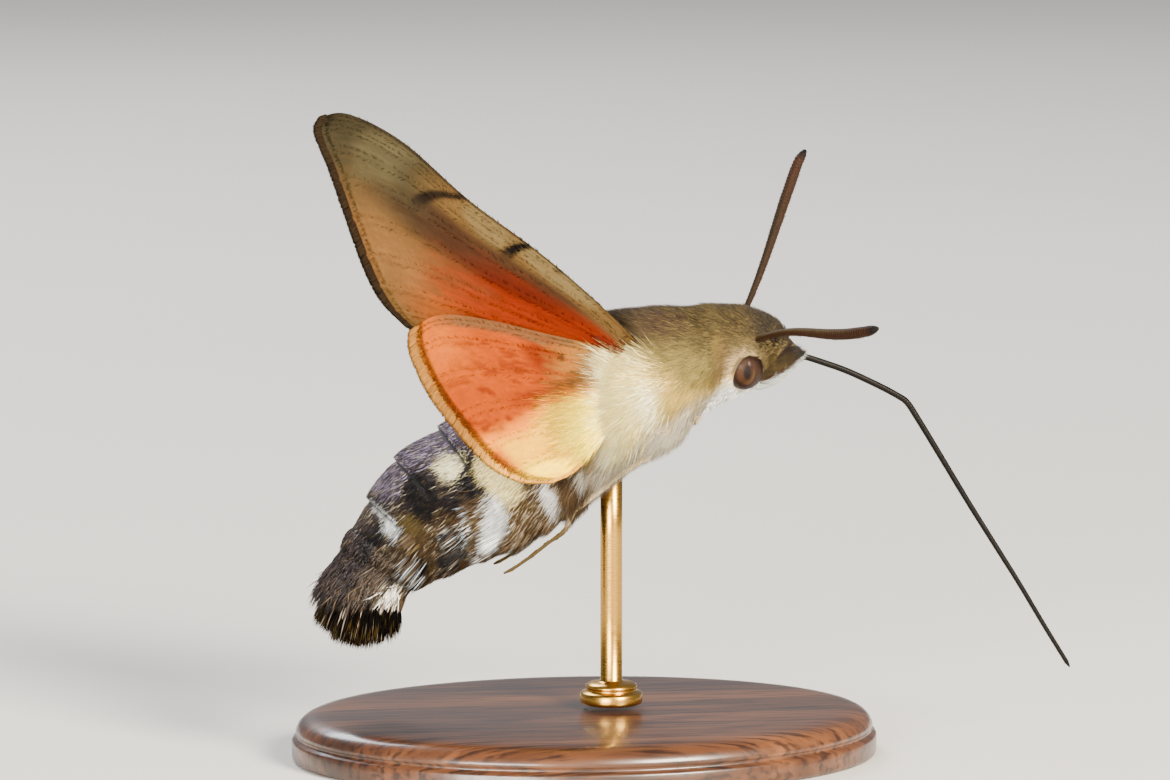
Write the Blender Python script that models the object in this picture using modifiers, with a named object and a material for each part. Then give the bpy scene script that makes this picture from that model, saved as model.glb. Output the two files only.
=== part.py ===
"""A hummingbird hawk moth, life size, held as in flight on a small display stand.

Metres, +Z up. The moth faces +X and its left side is +Y. The origin is the centre of the
underside of the stand's base. The sizes below are in millimetres, and mm() turns them
into the model's metres.
"""
import math
import random

import bmesh
import bpy
from mathutils import Matrix, Vector

RIGHT, LEFT = -1, 1
GAP = 0.3                        # between pieces that touch
HALF_GAP = GAP / 2
BODY_SIDES = 20                  # corners of one section of the body
TUBE_RESOLUTION = 2              # eight sides on legs, feelers and tongue

# Body sections from the snout to the last tail segment: the point on the back (x, z), the
# point on the belly (x, z) and half the width. The belly of the thorax is drawn in, because
# the folded legs fill its outline.
BODY_SECTIONS = (
    ((11.25, 22.48), (10.90, 21.75), 0.60),
    ((10.30, 23.50), (9.85, 20.60), 1.50),
    ((8.95, 24.40), (8.60, 19.75), 2.35),
    ((7.35, 24.66), (7.05, 18.98), 2.95),
    ((5.80, 24.68), (5.75, 17.95), 3.50),
    ((3.84, 24.66), (4.36, 16.94), 4.05),
    ((1.26, 24.38), (2.56, 15.98), 4.20),
    ((-1.37, 23.29), (1.06, 14.90), 4.00),
    ((-3.83, 21.60), (-0.54, 13.65), 3.60),
    ((-5.75, 20.12), (-1.98, 12.56), 3.70),
    ((-7.55, 18.42), (-3.52, 11.57), 3.90),
    ((-9.84, 16.95), (-4.89, 11.22), 4.00),
    ((-11.32, 15.25), (-6.53, 10.66), 3.80),
    ((-12.41, 13.21), (-8.17, 10.00), 3.20),
    ((-13.13, 11.71), (-9.32, 9.60), 2.60),
    ((-13.68, 10.25), (-9.98, 9.22), 2.20),
)
SNOUT, NECK, WAIST, TAIL_END = 0, 3, 8, 15     # indexes in BODY_SECTIONS
HEAD_STATIONS = (SNOUT, 0.35, 0.75, 1.2, 1.6, 2.0, 2.35, 2.7, NECK)
THORAX_RINGS = 12
SEGMENT_STEP = 0.16              # each abdomen plate stands this far over the next one
FAN_CORE_LENGTH = 1.6

# The head turns a little to its left and tips to its right.
HEAD_PIVOT = (7.4, 0.0, 22.0)
HEAD_YAW = 6.0
HEAD_ROLL = 8.0

EYE_CENTRE = (8.42, 1.58, 21.28)
EYE_RADII = (1.02, 1.05, 1.15)

PALP_LINE = ((9.0, 0.98, 20.55), (9.9, 0.92, 20.60), (10.8, 0.78, 21.02), (11.5, 0.60, 21.48),
             (11.98, 0.46, 21.82))
PALP_HALF_HEIGHT = (0.60, 0.80, 0.72, 0.46, 0.16)
PALP_HALF_WIDTH = (0.50, 0.66, 0.60, 0.42, 0.18)
PALP_SIDES = 10

# The tongue leaves the snout between the palps, bends down at its knee and ends just above
# the level of the base.
TONGUE_RADIUS = 0.25
TONGUE_TIP_RADIUS = 0.16
TONGUE_UPPER = ((10.3, 0.32, 21.65), (11.2, 0.40, 21.80), (12.1, 0.48, 21.66), (13.5, 0.60, 21.14),
                (14.75, 0.70, 20.60), (16.42, 0.82, 19.80), (17.54, 0.90, 19.19), (18.07, 0.92, 18.79))
TONGUE_LOWER = ((18.07, 0.92, 18.79), (18.70, 0.93, 17.84), (19.83, 0.92, 16.00), (21.53, 0.86, 13.20),
                (23.23, 0.76, 10.50), (24.36, 0.68, 8.70), (25.78, 0.56, 6.32), (27.20, 0.40, 4.00))

# Feelers: root inside the head, direction, length, and the radius along the length with the
# club near the end and the fine hooked tip.
FEELER_ROOT = (8.55, 1.05, 22.60)
FEELER_LENGTH = 11.2
FEELER_DIRECTION = {RIGHT: (0.422, -0.894, 0.165), LEFT: (0.395, 0.290, 0.870)}
FEELER_BOW = {RIGHT: (0.0, 0.0, 0.25), LEFT: (0.12, 0.0, -0.05)}
FEELER_HOOK = {RIGHT: (0.5, 0.1, -0.25), LEFT: (0.42, 0.1, -0.10)}
FEELER_RADII = ((0.0, 0.25), (0.35, 0.26), (0.60, 0.34), (0.80, 0.40), (0.91, 0.36), (0.96, 0.22),
                (1.0, 0.09))

# Wings: a frame for each right wing (root, direction to the tip, direction to the hind
# edge), and its outline in that frame. The first and last points lie inside the thorax.
FORE_ROOT = (2.41, -3.30, 22.78)
FORE_SPAN = (-0.804, 0.089, 0.588)
FORE_CHORD = (-0.590, 0.0, -0.807)
FORE_LEADING = ((-1.5, 0.25), (0.0, 0.0), (3.5, -0.55), (7.5, -0.88), (12.0, -0.95), (16.7, -1.42),
                (19.9, -0.98), (21.2, 0.15))
FORE_OUTER = ((21.2, 0.15), (20.9, 1.00), (19.2, 2.10), (16.8, 3.80), (14.4, 5.40), (12.6, 6.25),
              (10.8, 6.55))
FORE_TRAILING = ((-1.5, 1.9), (0.3, 2.2), (4.0, 3.75), (7.6, 5.45), (10.8, 6.55))
FORE_VEINS = (0.045, 0.13, 0.25, 0.37, 0.49, 0.61, 0.73, 0.86)
HIND_ROOT = (1.90, -4.25, 21.90)
HIND_SPAN = (-0.9875, 0.055, 0.153)
HIND_CHORD = (-0.155, -0.120, -0.980)
HIND_LEADING = ((-1.3, 0.6), (0.1, 0.1), (2.3, -0.62), (5.0, -0.92), (8.4, -1.23), (10.8, -1.08),
                (12.3, 0.1))
HIND_OUTER = ((12.3, 0.1), (12.05, 1.3), (10.8, 3.25), (9.0, 5.05), (7.2, 6.50), (5.4, 7.15),
              (3.6, 7.0))
HIND_TRAILING = ((-1.3, 3.4), (0.4, 3.85), (1.4, 5.1), (2.4, 6.3), (3.6, 7.0))
HIND_VEINS = (0.05, 0.17, 0.31, 0.46, 0.61, 0.77)
WING_ROWS = 11                   # from the root to the outer margin
VEIN_FLANK = 0.20                # the foot of a vein, as a share of the spacing between veins
MEMBRANE = 0.50                  # thickness of the wing between its veins
VEIN_THICKNESS = 0.76
MARGIN_THICKNESS = 0.40
FORE_CAMBER = 0.20
HIND_CAMBER = 0.30
LEFT_WINGS_INSET = 0.7           # the left wings reach this much less far than the right ones
ROOT_DIVE = 1.5                  # how far the wing bends into the thorax at its root
ROOT_DIVE_LENGTH = 1.9

LEG_RADIUS = 0.29
FOOT_RADIUS = 0.20
LEG_CLEARANCE = 0.36             # from the belly to the surface of a folded leg
# Folded legs: the section of the body and the angle round the belly (0 is the belly's middle
# line, 90 the side) of the root and of the points along the leg.
LEG_ROUTES = {
    "fore": ((4.05, 30), (4.05, 34), (4.35, 37), (4.75, 36), (5.15, 34)),
    "mid": ((5.20, 46), (5.20, 50), (5.75, 52), (6.40, 49), (7.00, 46), (7.50, 44)),
    "hind": ((5.60, 22), (5.60, 26), (6.20, 28), (6.90, 27), (7.60, 26), (8.20, 26)),
}
# The foot of each hind leg leaves the belly and ends free.
HIND_FOOT = ((-1.38, 1.60, 12.62), (-2.35, 1.62, 11.90), (-3.30, 1.65, 11.20), (-4.20, 1.70, 10.62),
             (-4.75, 1.72, 10.36))

# Tufts on the side of the abdomen: section, angle up from the belly's middle line, length,
# width and how far they stand off the surface at the tip.
SIDE_TUFTS = (
    (10.1, 70, 2.4, 1.70, 0.30), (10.3, 46, 2.3, 1.60, 0.30),
    (11.1, 96, 2.5, 1.50, 0.50), (11.2, 74, 2.7, 1.60, 0.60), (11.3, 50, 2.4, 1.50, 0.45),
    (12.1, 102, 2.8, 1.55, 0.70), (12.2, 80, 3.1, 1.65, 0.95), (12.3, 56, 2.7, 1.50, 0.65),
    (13.1, 102, 2.0, 1.40, 0.60), (13.1, 78, 2.3, 1.50, 0.85), (13.1, 54, 2.0, 1.40, 0.55),
)
LOCK_THICKNESS = 0.56

# Tail fan: locks in rings round its axis. Each ring has its number of locks, its distance
# from the axis as a share, and the angle of its first lock (0 is the back edge of the fan).
FAN_RINGS = ((15, 1.0, 0.0), (9, 0.56, 20.0), (3, 0.18, 60.0))
FAN_TIP_CENTRE = (-12.60, 8.05)
FAN_TIP_DEPTH, FAN_TIP_WIDTH = 2.30, 3.45
FAN_ROOT_DEPTH, FAN_ROOT_WIDTH = 1.20, 1.25
FAN_SAG = 1.75                   # the middle tips hang this far below the back and belly edges
FAN_SIDE_RISE = 0.55             # the side tips end this far above the middle ones
FAN_LOCK_WIDTH = 1.50
FAN_BOW = 0.35

BASE_LENGTH, BASE_WIDTH, BASE_HEIGHT = 32.0, 25.0, 2.5
BASE_BEVEL = 0.6
ROD_X = 1.45
ROD_RADIUS = 0.6
ROD_TOP_INSIDE = 17.0            # the rod's height before the thorax trims it
COLLAR_RADIUS, COLLAR_HEIGHT = 1.7, 1.2

COLOURS = {
    "head": (0.26, 0.21, 0.12), "eye": (0.10, 0.06, 0.03), "palp": (0.34, 0.26, 0.14),
    "feeler": (0.10, 0.05, 0.03), "tongue": (0.012, 0.011, 0.012), "thorax": (0.34, 0.28, 0.17),
    "abdomen": (0.06, 0.05, 0.05), "fan": (0.05, 0.04, 0.03), "forewing": (0.45, 0.11, 0.04),
    "hindwing": (0.70, 0.27, 0.07), "leg": (0.50, 0.40, 0.26), "base": (0.07, 0.035, 0.02),
    "brass": (0.72, 0.52, 0.22),
}


def mm(x, y, z):
    """The point x, y, z in millimetres, in the model's metres."""
    return Vector((x, y, z)) * 0.001


def spline(values, t):
    """Catmull-Rom value at t (0 to len - 1) through equal-length tuples."""
    last = len(values) - 1
    i = min(int(t), last - 1)
    f = t - i
    p1, p2 = Vector(values[i]), Vector(values[i + 1])
    p0 = Vector(values[i - 1]) if i > 0 else p1 * 2 - p2
    p3 = Vector(values[i + 2]) if i + 2 <= last else p2 * 2 - p1
    return 0.5 * (2 * p1 + (p2 - p0) * f + (2 * p0 - 5 * p1 + 4 * p2 - p3) * f ** 2
                  + (3 * p1 - p0 - 3 * p2 + p3) * f ** 3)


def smooth(t):
    """Eased step from 0 to 1."""
    t = min(max(t, 0.0), 1.0)
    return t * t * (3 - 2 * t)


def collection(name):
    made = bpy.data.collections.new(name)
    bpy.context.scene.collection.children.link(made)
    return made


def material(name, colour, roughness, metallic=0.0):
    made = bpy.data.materials.new(name)
    made.use_nodes = True
    shader = made.node_tree.nodes["Principled BSDF"]
    shader.inputs["Base Color"].default_value = (*colour, 1.0)
    shader.inputs["Roughness"].default_value = roughness
    shader.inputs["Metallic"].default_value = metallic
    return made


def add_object(name, mesh, group, colour="head", roughness=0.8, metallic=0.0):
    obj = bpy.data.objects.new(name, mesh)
    group.objects.link(obj)
    mesh.materials.clear()
    mesh.materials.append(material(name, COLOURS[colour], roughness, metallic))
    mesh.shade_smooth()
    return obj


def mesh_from_bmesh(name, bm):
    """A triangulated mesh with its faces pointing out."""
    bmesh.ops.remove_doubles(bm, verts=bm.verts, dist=1e-6)
    bmesh.ops.triangulate(bm, faces=bm.faces)
    bmesh.ops.recalc_face_normals(bm, faces=bm.faces)
    if bm.calc_volume(signed=True) < 0:
        bmesh.ops.reverse_faces(bm, faces=bm.faces)
    mesh = bpy.data.meshes.new(name)
    bm.to_mesh(mesh)
    bm.free()
    return mesh


def loft(name, rings):
    """A closed mesh over rings with equal numbers of points."""
    bm = bmesh.new()
    rows = [[bm.verts.new(point) for point in ring] for ring in rings]
    count = len(rows[0])
    for row, following in zip(rows, rows[1:]):
        for i in range(count):
            j = (i + 1) % count
            bm.faces.new((row[i], row[j], following[j], following[i]))
    bm.faces.new(reversed(rows[0]))
    bm.faces.new(rows[-1])
    return mesh_from_bmesh(name, bm)


def evaluated_mesh(obj):
    graph = bpy.context.evaluated_depsgraph_get()
    return bpy.data.meshes.new_from_object(obj.evaluated_get(graph))


def keep_largest(mesh):
    """Drop all but the closed surface with the largest volume."""
    bm = bmesh.new()
    bm.from_mesh(mesh)
    left = set(bm.faces)
    shells = []
    while left:
        shell = [left.pop()]
        for face in shell:
            for edge in face.edges:
                for other in edge.link_faces:
                    if other in left:
                        left.remove(other)
                        shell.append(other)
        shells.append(shell)

    def volume(shell):
        total = 0.0
        for face in shell:
            first = face.verts[0].co
            for a, b in zip(face.verts[1:], face.verts[2:]):
                total += first.dot(a.co.cross(b.co))
        return total

    best = max(shells, key=volume)
    for shell in shells:
        if shell is not best:
            bmesh.ops.delete(bm, geom=shell, context="FACES")
    loose = [vert for vert in bm.verts if not vert.link_faces]
    bmesh.ops.delete(bm, geom=loose, context="VERTS")
    bmesh.ops.triangulate(bm, faces=bm.faces)
    bm.to_mesh(mesh)
    bm.free()


def apply_boolean(obj, operation, other=None, pieces=None, solver="EXACT"):
    """Cut obj by an object, or join it with a collection, and keep one closed body."""
    boolean = obj.modifiers.new(operation.lower(), "BOOLEAN")
    boolean.operation = operation
    boolean.solver = solver
    if pieces is None:
        boolean.object = other
    else:
        boolean.operand_type = "COLLECTION"
        boolean.collection = pieces
    mesh = evaluated_mesh(obj)
    obj.modifiers.clear()
    old, materials = obj.data, list(obj.data.materials)
    obj.data = mesh
    mesh.materials.clear()
    for item in materials:
        mesh.materials.append(item)
    bpy.data.meshes.remove(old)
    keep_largest(mesh)
    mesh.shade_smooth()


def cut(obj, *cutters):
    for cutter in cutters:
        apply_boolean(obj, "DIFFERENCE", other=cutter)


def fuse(obj, meshes):
    """Join closed meshes to an object as one body."""
    group = collection("pieces")
    for index, mesh in enumerate(meshes):
        group.objects.link(bpy.data.objects.new(f"piece_{index}", mesh))
    apply_boolean(obj, "UNION", pieces=group)
    for piece in list(group.objects):
        bpy.data.objects.remove(piece)
    bpy.data.collections.remove(group)


def cutter(name, mesh):
    obj = bpy.data.objects.new(name, mesh)
    CUTTERS.objects.link(obj)
    obj.hide_render = True
    obj.display_type = "WIRE"
    return obj


def head_pose(u):
    """The turn of the head at a body section: full at the face, none at the neck."""
    share = smooth((NECK - u) / 1.2)
    pivot = mm(*HEAD_PIVOT)
    turn = (Matrix.Rotation(math.radians(HEAD_YAW * share), 4, "Z")
            @ Matrix.Rotation(math.radians(HEAD_ROLL * share), 4, "X"))
    return Matrix.Translation(pivot) @ turn @ Matrix.Translation(-pivot)


def plate_lift(u):
    """How far the abdomen's surface stands out at a section, for the steps of its plates."""
    if u <= WAIST or u >= TAIL_END:
        return 0.0
    return SEGMENT_STEP * min((u % 1.0) / 0.9, 1.0)


def skin(u, angle, out=0.0):
    """A point of the body: section u, angle up from the belly's middle line, distance off
    the surface. A positive angle is the left side."""
    back_x, back_z, belly_x, belly_z = spline([(*back, *belly) for back, belly, _ in BODY_SECTIONS], u)
    half_width = spline([(width, 0.0) for _, _, width in BODY_SECTIONS], u)[0]
    centre = Vector(((back_x + belly_x) / 2, 0.0, (back_z + belly_z) / 2))
    upward = Vector(((back_x - belly_x) / 2, 0.0, (back_z - belly_z) / 2))
    grown = out + plate_lift(u)
    upward *= 1 + grown / upward.length
    radians = math.radians(angle)
    offset = Vector((0.0, math.sin(radians) * (half_width + grown), 0.0))
    return head_pose(u) @ ((centre + offset - math.cos(radians) * upward) * 0.001)


def section(u, out=0.0, along=0.0):
    """The ring of points of body section u, moved along the body (tailwards if positive)."""
    ring = [skin(u, 360.0 * i / BODY_SIDES, out) for i in range(BODY_SIDES)]
    upward = ring[BODY_SIDES // 2] - ring[0]
    tailwards = Vector((-upward.z, 0.0, upward.x)).normalized()
    return [point + tailwards * along * 0.001 for point in ring]


def body_loft(name, stations, out=0.0, front=0.0, rear=0.0):
    """A stretch of the body over the given sections, with its two ends moved along."""
    moves = [front] + [0.0] * (len(stations) - 2) + [rear]
    return loft(name, [section(u, out, move) for u, move in zip(stations, moves)])


def steps(start, end, count):
    return [start + (end - start) * i / count for i in range(count + 1)]


def tube(name, points, radii):
    """A round tube with closed ends along a run of points."""
    curve = bpy.data.curves.new(name, "CURVE")
    curve.dimensions = "3D"
    curve.bevel_depth = 0.001
    curve.bevel_resolution = TUBE_RESOLUTION
    curve.use_fill_caps = True
    line = curve.splines.new("POLY")
    line.points.add(len(points) - 1)
    for target, point, radius in zip(line.points, points, radii):
        target.co = (*point, 1.0)
        target.radius = radius
    obj = bpy.data.objects.new(name, curve)
    CUTTERS.objects.link(obj)
    mesh = evaluated_mesh(obj)
    bpy.data.objects.remove(obj)
    bm = bmesh.new()
    bm.from_mesh(mesh)
    bpy.data.meshes.remove(mesh)
    return mesh_from_bmesh(name, bm)


def flat_lock(name, points, normals, width, thickness):
    """A flat tapered lock of hair-like scales with four sides along five points."""
    shares = (0.85, 1.0, 1.0, 0.76, 0.14)
    rings = []
    for i, (point, normal) in enumerate(zip(points, normals)):
        before, after = points[max(i - 1, 0)], points[min(i + 1, len(points) - 1)]
        across = (after - before).cross(normal).normalized()
        lift = across.cross(after - before).normalized()
        half_width = across * width * shares[i] * 0.0005
        half_depth = lift * thickness * min(shares[i] + 0.15, 1.0) * 0.0005
        rings.append([point + half_width, point + half_depth, point - half_width, point - half_depth])
    return loft(name, rings)


def make_head():
    """Head with a socket for each eye."""
    head = add_object("head", body_loft("head", HEAD_STATIONS, rear=-HALF_GAP), MOTH, "head")
    for side in (RIGHT, LEFT):
        socket = cutter("eye_socket", eye_mesh(side, GAP))
        cut(head, socket)
    return head


def eye_mesh(side, grown=0.0):
    bm = bmesh.new()
    x, y, z = EYE_CENTRE
    size = Matrix.Diagonal([(radius + grown) * 0.001 for radius in EYE_RADII] + [1.0])
    place = head_pose(SNOUT) @ Matrix.Translation(mm(x, side * y, z))
    bmesh.ops.create_uvsphere(bm, u_segments=16, v_segments=10, radius=1.0, matrix=place @ size)
    return mesh_from_bmesh("eye", bm)


def make_eyes():
    for side, name in ((RIGHT, "eye_right"), (LEFT, "eye_left")):
        add_object(name, eye_mesh(side), MOTH, "eye", 0.25)


def make_palps(head_cutter, tongue_cutter):
    """The pair of palps that form the snout, hugging the face and the tongue."""
    for side, name in ((RIGHT, "palp_right"), (LEFT, "palp_left")):
        rings = []
        for (x, y, z), tall, wide in zip(PALP_LINE, PALP_HALF_HEIGHT, PALP_HALF_WIDTH):
            ring = []
            for i in range(PALP_SIDES):
                angle = 2 * math.pi * i / PALP_SIDES
                ring.append(head_pose(SNOUT) @ mm(x, side * (y + wide * math.cos(angle)),
                                                  z + tall * math.sin(angle)))
            rings.append(ring)
        palp = add_object(name, loft(name, rings), MOTH, "palp")
        cut(palp, head_cutter, tongue_cutter)


def make_tongue(head_cutter):
    """The tongue in two lengths, parted at its knee."""
    def line(points, count):
        return [spline(points, t) * 0.001 for t in steps(0, len(points) - 1, count)]

    upper_line, lower_line = line(TONGUE_UPPER, 18), line(TONGUE_LOWER, 16)
    bend = (lower_line[1] - upper_line[-2]).normalized() * HALF_GAP * 0.001
    upper_line[-1] -= bend
    lower_line[0] += bend
    upper = add_object("proboscis_upper", tube("proboscis_upper", upper_line,
                                               [TONGUE_RADIUS] * len(upper_line)), MOTH, "tongue", 0.3)
    cut(upper, head_cutter)
    taper = [TONGUE_RADIUS + (TONGUE_TIP_RADIUS - TONGUE_RADIUS) * i / 16 for i in range(17)]
    add_object("proboscis_lower", tube("proboscis_lower", lower_line, taper), MOTH, "tongue", 0.3)
    grown = tube("tongue_cutter", upper_line, [TONGUE_RADIUS + GAP] * len(upper_line))
    return cutter("tongue_cutter", grown)


def feeler_radius(share):
    for (s0, r0), (s1, r1) in zip(FEELER_RADII, FEELER_RADII[1:]):
        if share <= s1:
            return r0 + (r1 - r0) * smooth((share - s0) / (s1 - s0))
    return FEELER_RADII[-1][1]


def make_feelers(head_cutter):
    """Feelers with a club and a small hooked tip."""
    x, y, z = FEELER_ROOT
    for side, name in ((RIGHT, "antenna_right"), (LEFT, "antenna_left")):
        root = head_pose(SNOUT) @ mm(x, side * y, z)
        reach = Vector(FEELER_DIRECTION[side]).normalized() * FEELER_LENGTH * 0.001
        bow, hook = mm(*FEELER_BOW[side]), mm(*FEELER_HOOK[side])
        shares = steps(0.0, 0.92, 16) + [0.95, 0.975, 1.0]
        points = [root + reach * s + bow * math.sin(math.pi * s) + hook * max(s - 0.9, 0) * 10 * smooth(
            (s - 0.9) * 10) for s in shares]
        feeler = add_object(name, tube(name, points, [feeler_radius(s) for s in shares]), MOTH,
                            "feeler", 0.6)
        cut(feeler, head_cutter)


def make_thorax():
    thorax = body_loft("thorax", steps(NECK, WAIST, THORAX_RINGS), front=HALF_GAP, rear=-HALF_GAP)
    add_object("thorax", thorax, MOTH, "thorax")


def side_tufts():
    """Tufts of long scales along both sides of the abdomen."""
    draw = random.Random(11)
    made = []
    for side in (RIGHT, LEFT):
        for u, angle, length, width, off in SIDE_TUFTS:
            turned = side * (angle + draw.uniform(-4, 4))
            long = length * draw.uniform(0.9, 1.1)
            root = skin(u, turned, -0.65)
            normal = (skin(u, turned, 0.5) - skin(u, turned, -0.5)).normalized()
            rearward = (skin(u + 0.25, turned) - skin(u - 0.25, turned)).normalized()
            points, normals = [], []
            for s in (0.0, 0.3, 0.58, 0.82, 1.0):
                rise = 0.65 * smooth(s * 1.6) + off * s * s
                points.append(root + rearward * (long + 0.7) * s * 0.001 + normal * rise * 0.001)
                normals.append(normal)
            made.append(flat_lock("tuft", points, normals, width, LOCK_THICKNESS))
    return made


def make_abdomen():
    """Abdomen with stepped plates and tufts at the sides."""
    stations = []
    for index in range(WAIST, TAIL_END):
        stations += [index, index + 0.45, index + 0.9]
    stations.append(TAIL_END)
    stations[1] = WAIST + 0.4
    abdomen = add_object("abdomen", body_loft("abdomen", stations, front=HALF_GAP, rear=-HALF_GAP),
                         MOTH, "abdomen", 0.45)
    fuse(abdomen, side_tufts())


def fan_locks():
    """Overlapping locks in rings round the axis of the tail fan."""
    draw = random.Random(5)
    ring = section(TAIL_END, 0.0, HALF_GAP)
    belly, back = ring[0], ring[BODY_SIDES // 2]
    backward = (back - belly).normalized()
    tailwards = Vector((-backward.z, 0.0, backward.x))
    middle = (belly + back) / 2 + tailwards * FAN_ROOT_DEPTH * 0.0007
    made = []
    for count, share, first in FAN_RINGS:
        for i in range(count):
            turn = math.radians(first + 360.0 * i / count + draw.uniform(-3, 3))
            depth, across = math.cos(turn) * share, math.sin(turn) * share
            root = middle + (backward * depth * FAN_ROOT_DEPTH + Vector((0, across * FAN_ROOT_WIDTH, 0))) * 0.001
            sag = FAN_SAG * math.sqrt(1.0 - depth * depth) - FAN_SIDE_RISE * across ** 4
            tip = mm(FAN_TIP_CENTRE[0] - FAN_TIP_DEPTH * depth, FAN_TIP_WIDTH * across, FAN_TIP_CENTRE[1] - sag)
            tip = root + (tip - root) * draw.uniform(0.95, 1.0)
            normal = (backward * math.cos(turn) + Vector((0, math.sin(turn), 0))).normalized()
            bow = normal * FAN_BOW * share * 0.001
            points = [root.lerp(tip, s) + bow * math.sin(math.pi * s) for s in (0, 0.3, 0.58, 0.82, 1)]
            made.append(flat_lock("lock", points, [normal] * 5, FAN_LOCK_WIDTH, LOCK_THICKNESS))
    return made


def make_tail_fan():
    """Tail fan: overlapping locks rooted in a short core at the end of the abdomen."""
    rings = []
    for along, share in ((HALF_GAP, 0.96), (0.6, 0.90), (FAN_CORE_LENGTH, 0.62)):
        ring = section(TAIL_END, 0.0, along)
        middle = sum(ring, Vector()) / BODY_SIDES
        rings.append([middle + (point - middle) * share for point in ring])
    fan = add_object("tail_fan", loft("tail_fan", rings), MOTH, "fan")
    fuse(fan, fan_locks())


def wing_columns(veins):
    """Positions across the wing: both edges, and foot, crest and foot of each vein."""
    columns = [0.0]
    for index, vein in enumerate(veins):
        before = vein - (veins[index - 1] if index else 0.0)
        after = (veins[index + 1] if index + 1 < len(veins) else 1.0) - vein
        columns += [vein - before * VEIN_FLANK, vein, vein + after * VEIN_FLANK]
    return columns + [1.0]


def edge(points, share):
    """The point at a share of the way along one edge of a wing."""
    return spline(points, share * (len(points) - 1))


def wing_mesh(name, side, frame, outline, veins, camber):
    """An open sheet over a wing, with the thickness of each point as a vertex weight."""
    root, span, chord = (Vector(item) for item in frame)
    leading, outer, trailing = outline
    inner = (leading[0], trailing[0])
    corners = [Vector(point) for point in (*inner, outer[0], outer[-1])]
    inset = LEFT_WINGS_INSET if side == LEFT else 0.0
    columns = wing_columns(veins)
    bm = bmesh.new()
    weights, rows = [], []
    for row in range(WING_ROWS + 1):
        u = row / WING_ROWS
        line = []
        for column, v in enumerate(columns):
            across = edge(leading, u).lerp(edge(trailing, u), v)
            along = edge(inner, v).lerp(edge(outer, v), u)
            corner = corners[0].lerp(corners[1], v).lerp(corners[2].lerp(corners[3], v), u)
            s, t = across + along - corner
            dive = ROOT_DIVE * (1 - smooth((s + 1.3) / ROOT_DIVE_LENGTH))
            swell = camber * math.sin(math.pi * min(max(s, 0) / outer[0][0], 1)) * math.sin(math.pi * v)
            place = root + span * (s - inset) + chord * t + Vector((0.0, dive - swell, 0.0))
            line.append(bm.verts.new(mm(place.x, -side * place.y, place.z)))
            crest = column % 3 == 2 and column < len(columns) - 1
            at_rim = row == WING_ROWS or column == len(columns) - 1
            thick = VEIN_THICKNESS if crest and not at_rim else MEMBRANE
            weights.append(MARGIN_THICKNESS if at_rim else thick)
        rows.append(line)
    for row, following in zip(rows, rows[1:]):
        for i in range(len(columns) - 1):
            bm.faces.new((row[i], row[i + 1], following[i + 1], following[i]))
    bmesh.ops.triangulate(bm, faces=bm.faces, quad_method="SHORT_EDGE")
    mesh = bpy.data.meshes.new(name)
    bm.to_mesh(mesh)
    bm.free()
    return mesh, weights


def make_wing(name, side, frame, outline, veins, camber, colour, thorax_cutter):
    mesh, weights = wing_mesh(name, side, frame, outline, veins, camber)
    wing = add_object(name, mesh, MOTH, colour, 0.7)
    group = wing.vertex_groups.new(name="thickness")
    for index, weight in enumerate(weights):
        group.add([index], weight / VEIN_THICKNESS, "REPLACE")
    solid = wing.modifiers.new("solid", "SOLIDIFY")
    solid.thickness = VEIN_THICKNESS * 0.001
    solid.offset = 0.0
    solid.vertex_group = group.name
    wing_solid = evaluated_mesh(wing)
    wing.modifiers.clear()
    wing.vertex_groups.clear()
    bm = bmesh.new()
    bm.from_mesh(wing_solid)
    bpy.data.meshes.remove(wing_solid)
    materials = list(wing.data.materials)
    wing.data = mesh_from_bmesh(name, bm)
    wing.data.materials.append(materials[0])
    cut(wing, thorax_cutter)


def make_wings(thorax_cutter):
    fore = ((FORE_ROOT, FORE_SPAN, FORE_CHORD), (FORE_LEADING, FORE_OUTER, FORE_TRAILING))
    hind = ((HIND_ROOT, HIND_SPAN, HIND_CHORD), (HIND_LEADING, HIND_OUTER, HIND_TRAILING))
    for side, word in ((RIGHT, "right"), (LEFT, "left")):
        make_wing(f"forewing_{word}", side, *fore, FORE_VEINS, FORE_CAMBER, "forewing", thorax_cutter)
        make_wing(f"hindwing_{word}", side, *hind, HIND_VEINS, HIND_CAMBER, "hindwing", thorax_cutter)


def make_legs(thorax_cutter):
    """Six legs folded back along the belly."""
    for pair, route in LEG_ROUTES.items():
        for side, word in ((RIGHT, "right"), (LEFT, "left")):
            (u, angle), *rest = route
            points = [skin(u, side * angle, -0.5)]
            run = [(value, turn) for value, turn in rest]
            for t in steps(0, len(run) - 1, 3 * (len(run) - 1)):
                value, turn, _ = spline([(*item, 0.0) for item in run], t)
                points.append(skin(value, side * turn, LEG_CLEARANCE + LEG_RADIUS - plate_lift(value)))
            if pair == "hind":
                points += [mm(x, side * y, z) for x, y, z in HIND_FOOT]
            last = len(points) - 1
            radii = [LEG_RADIUS + (FOOT_RADIUS - LEG_RADIUS) * smooth(2 * i / last - 1) for i in range(last + 1)]
            leg = add_object(f"leg_{pair}_{word}", tube(f"leg_{pair}_{word}", points, radii), MOTH, "leg")
            cut(leg, thorax_cutter)


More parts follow.
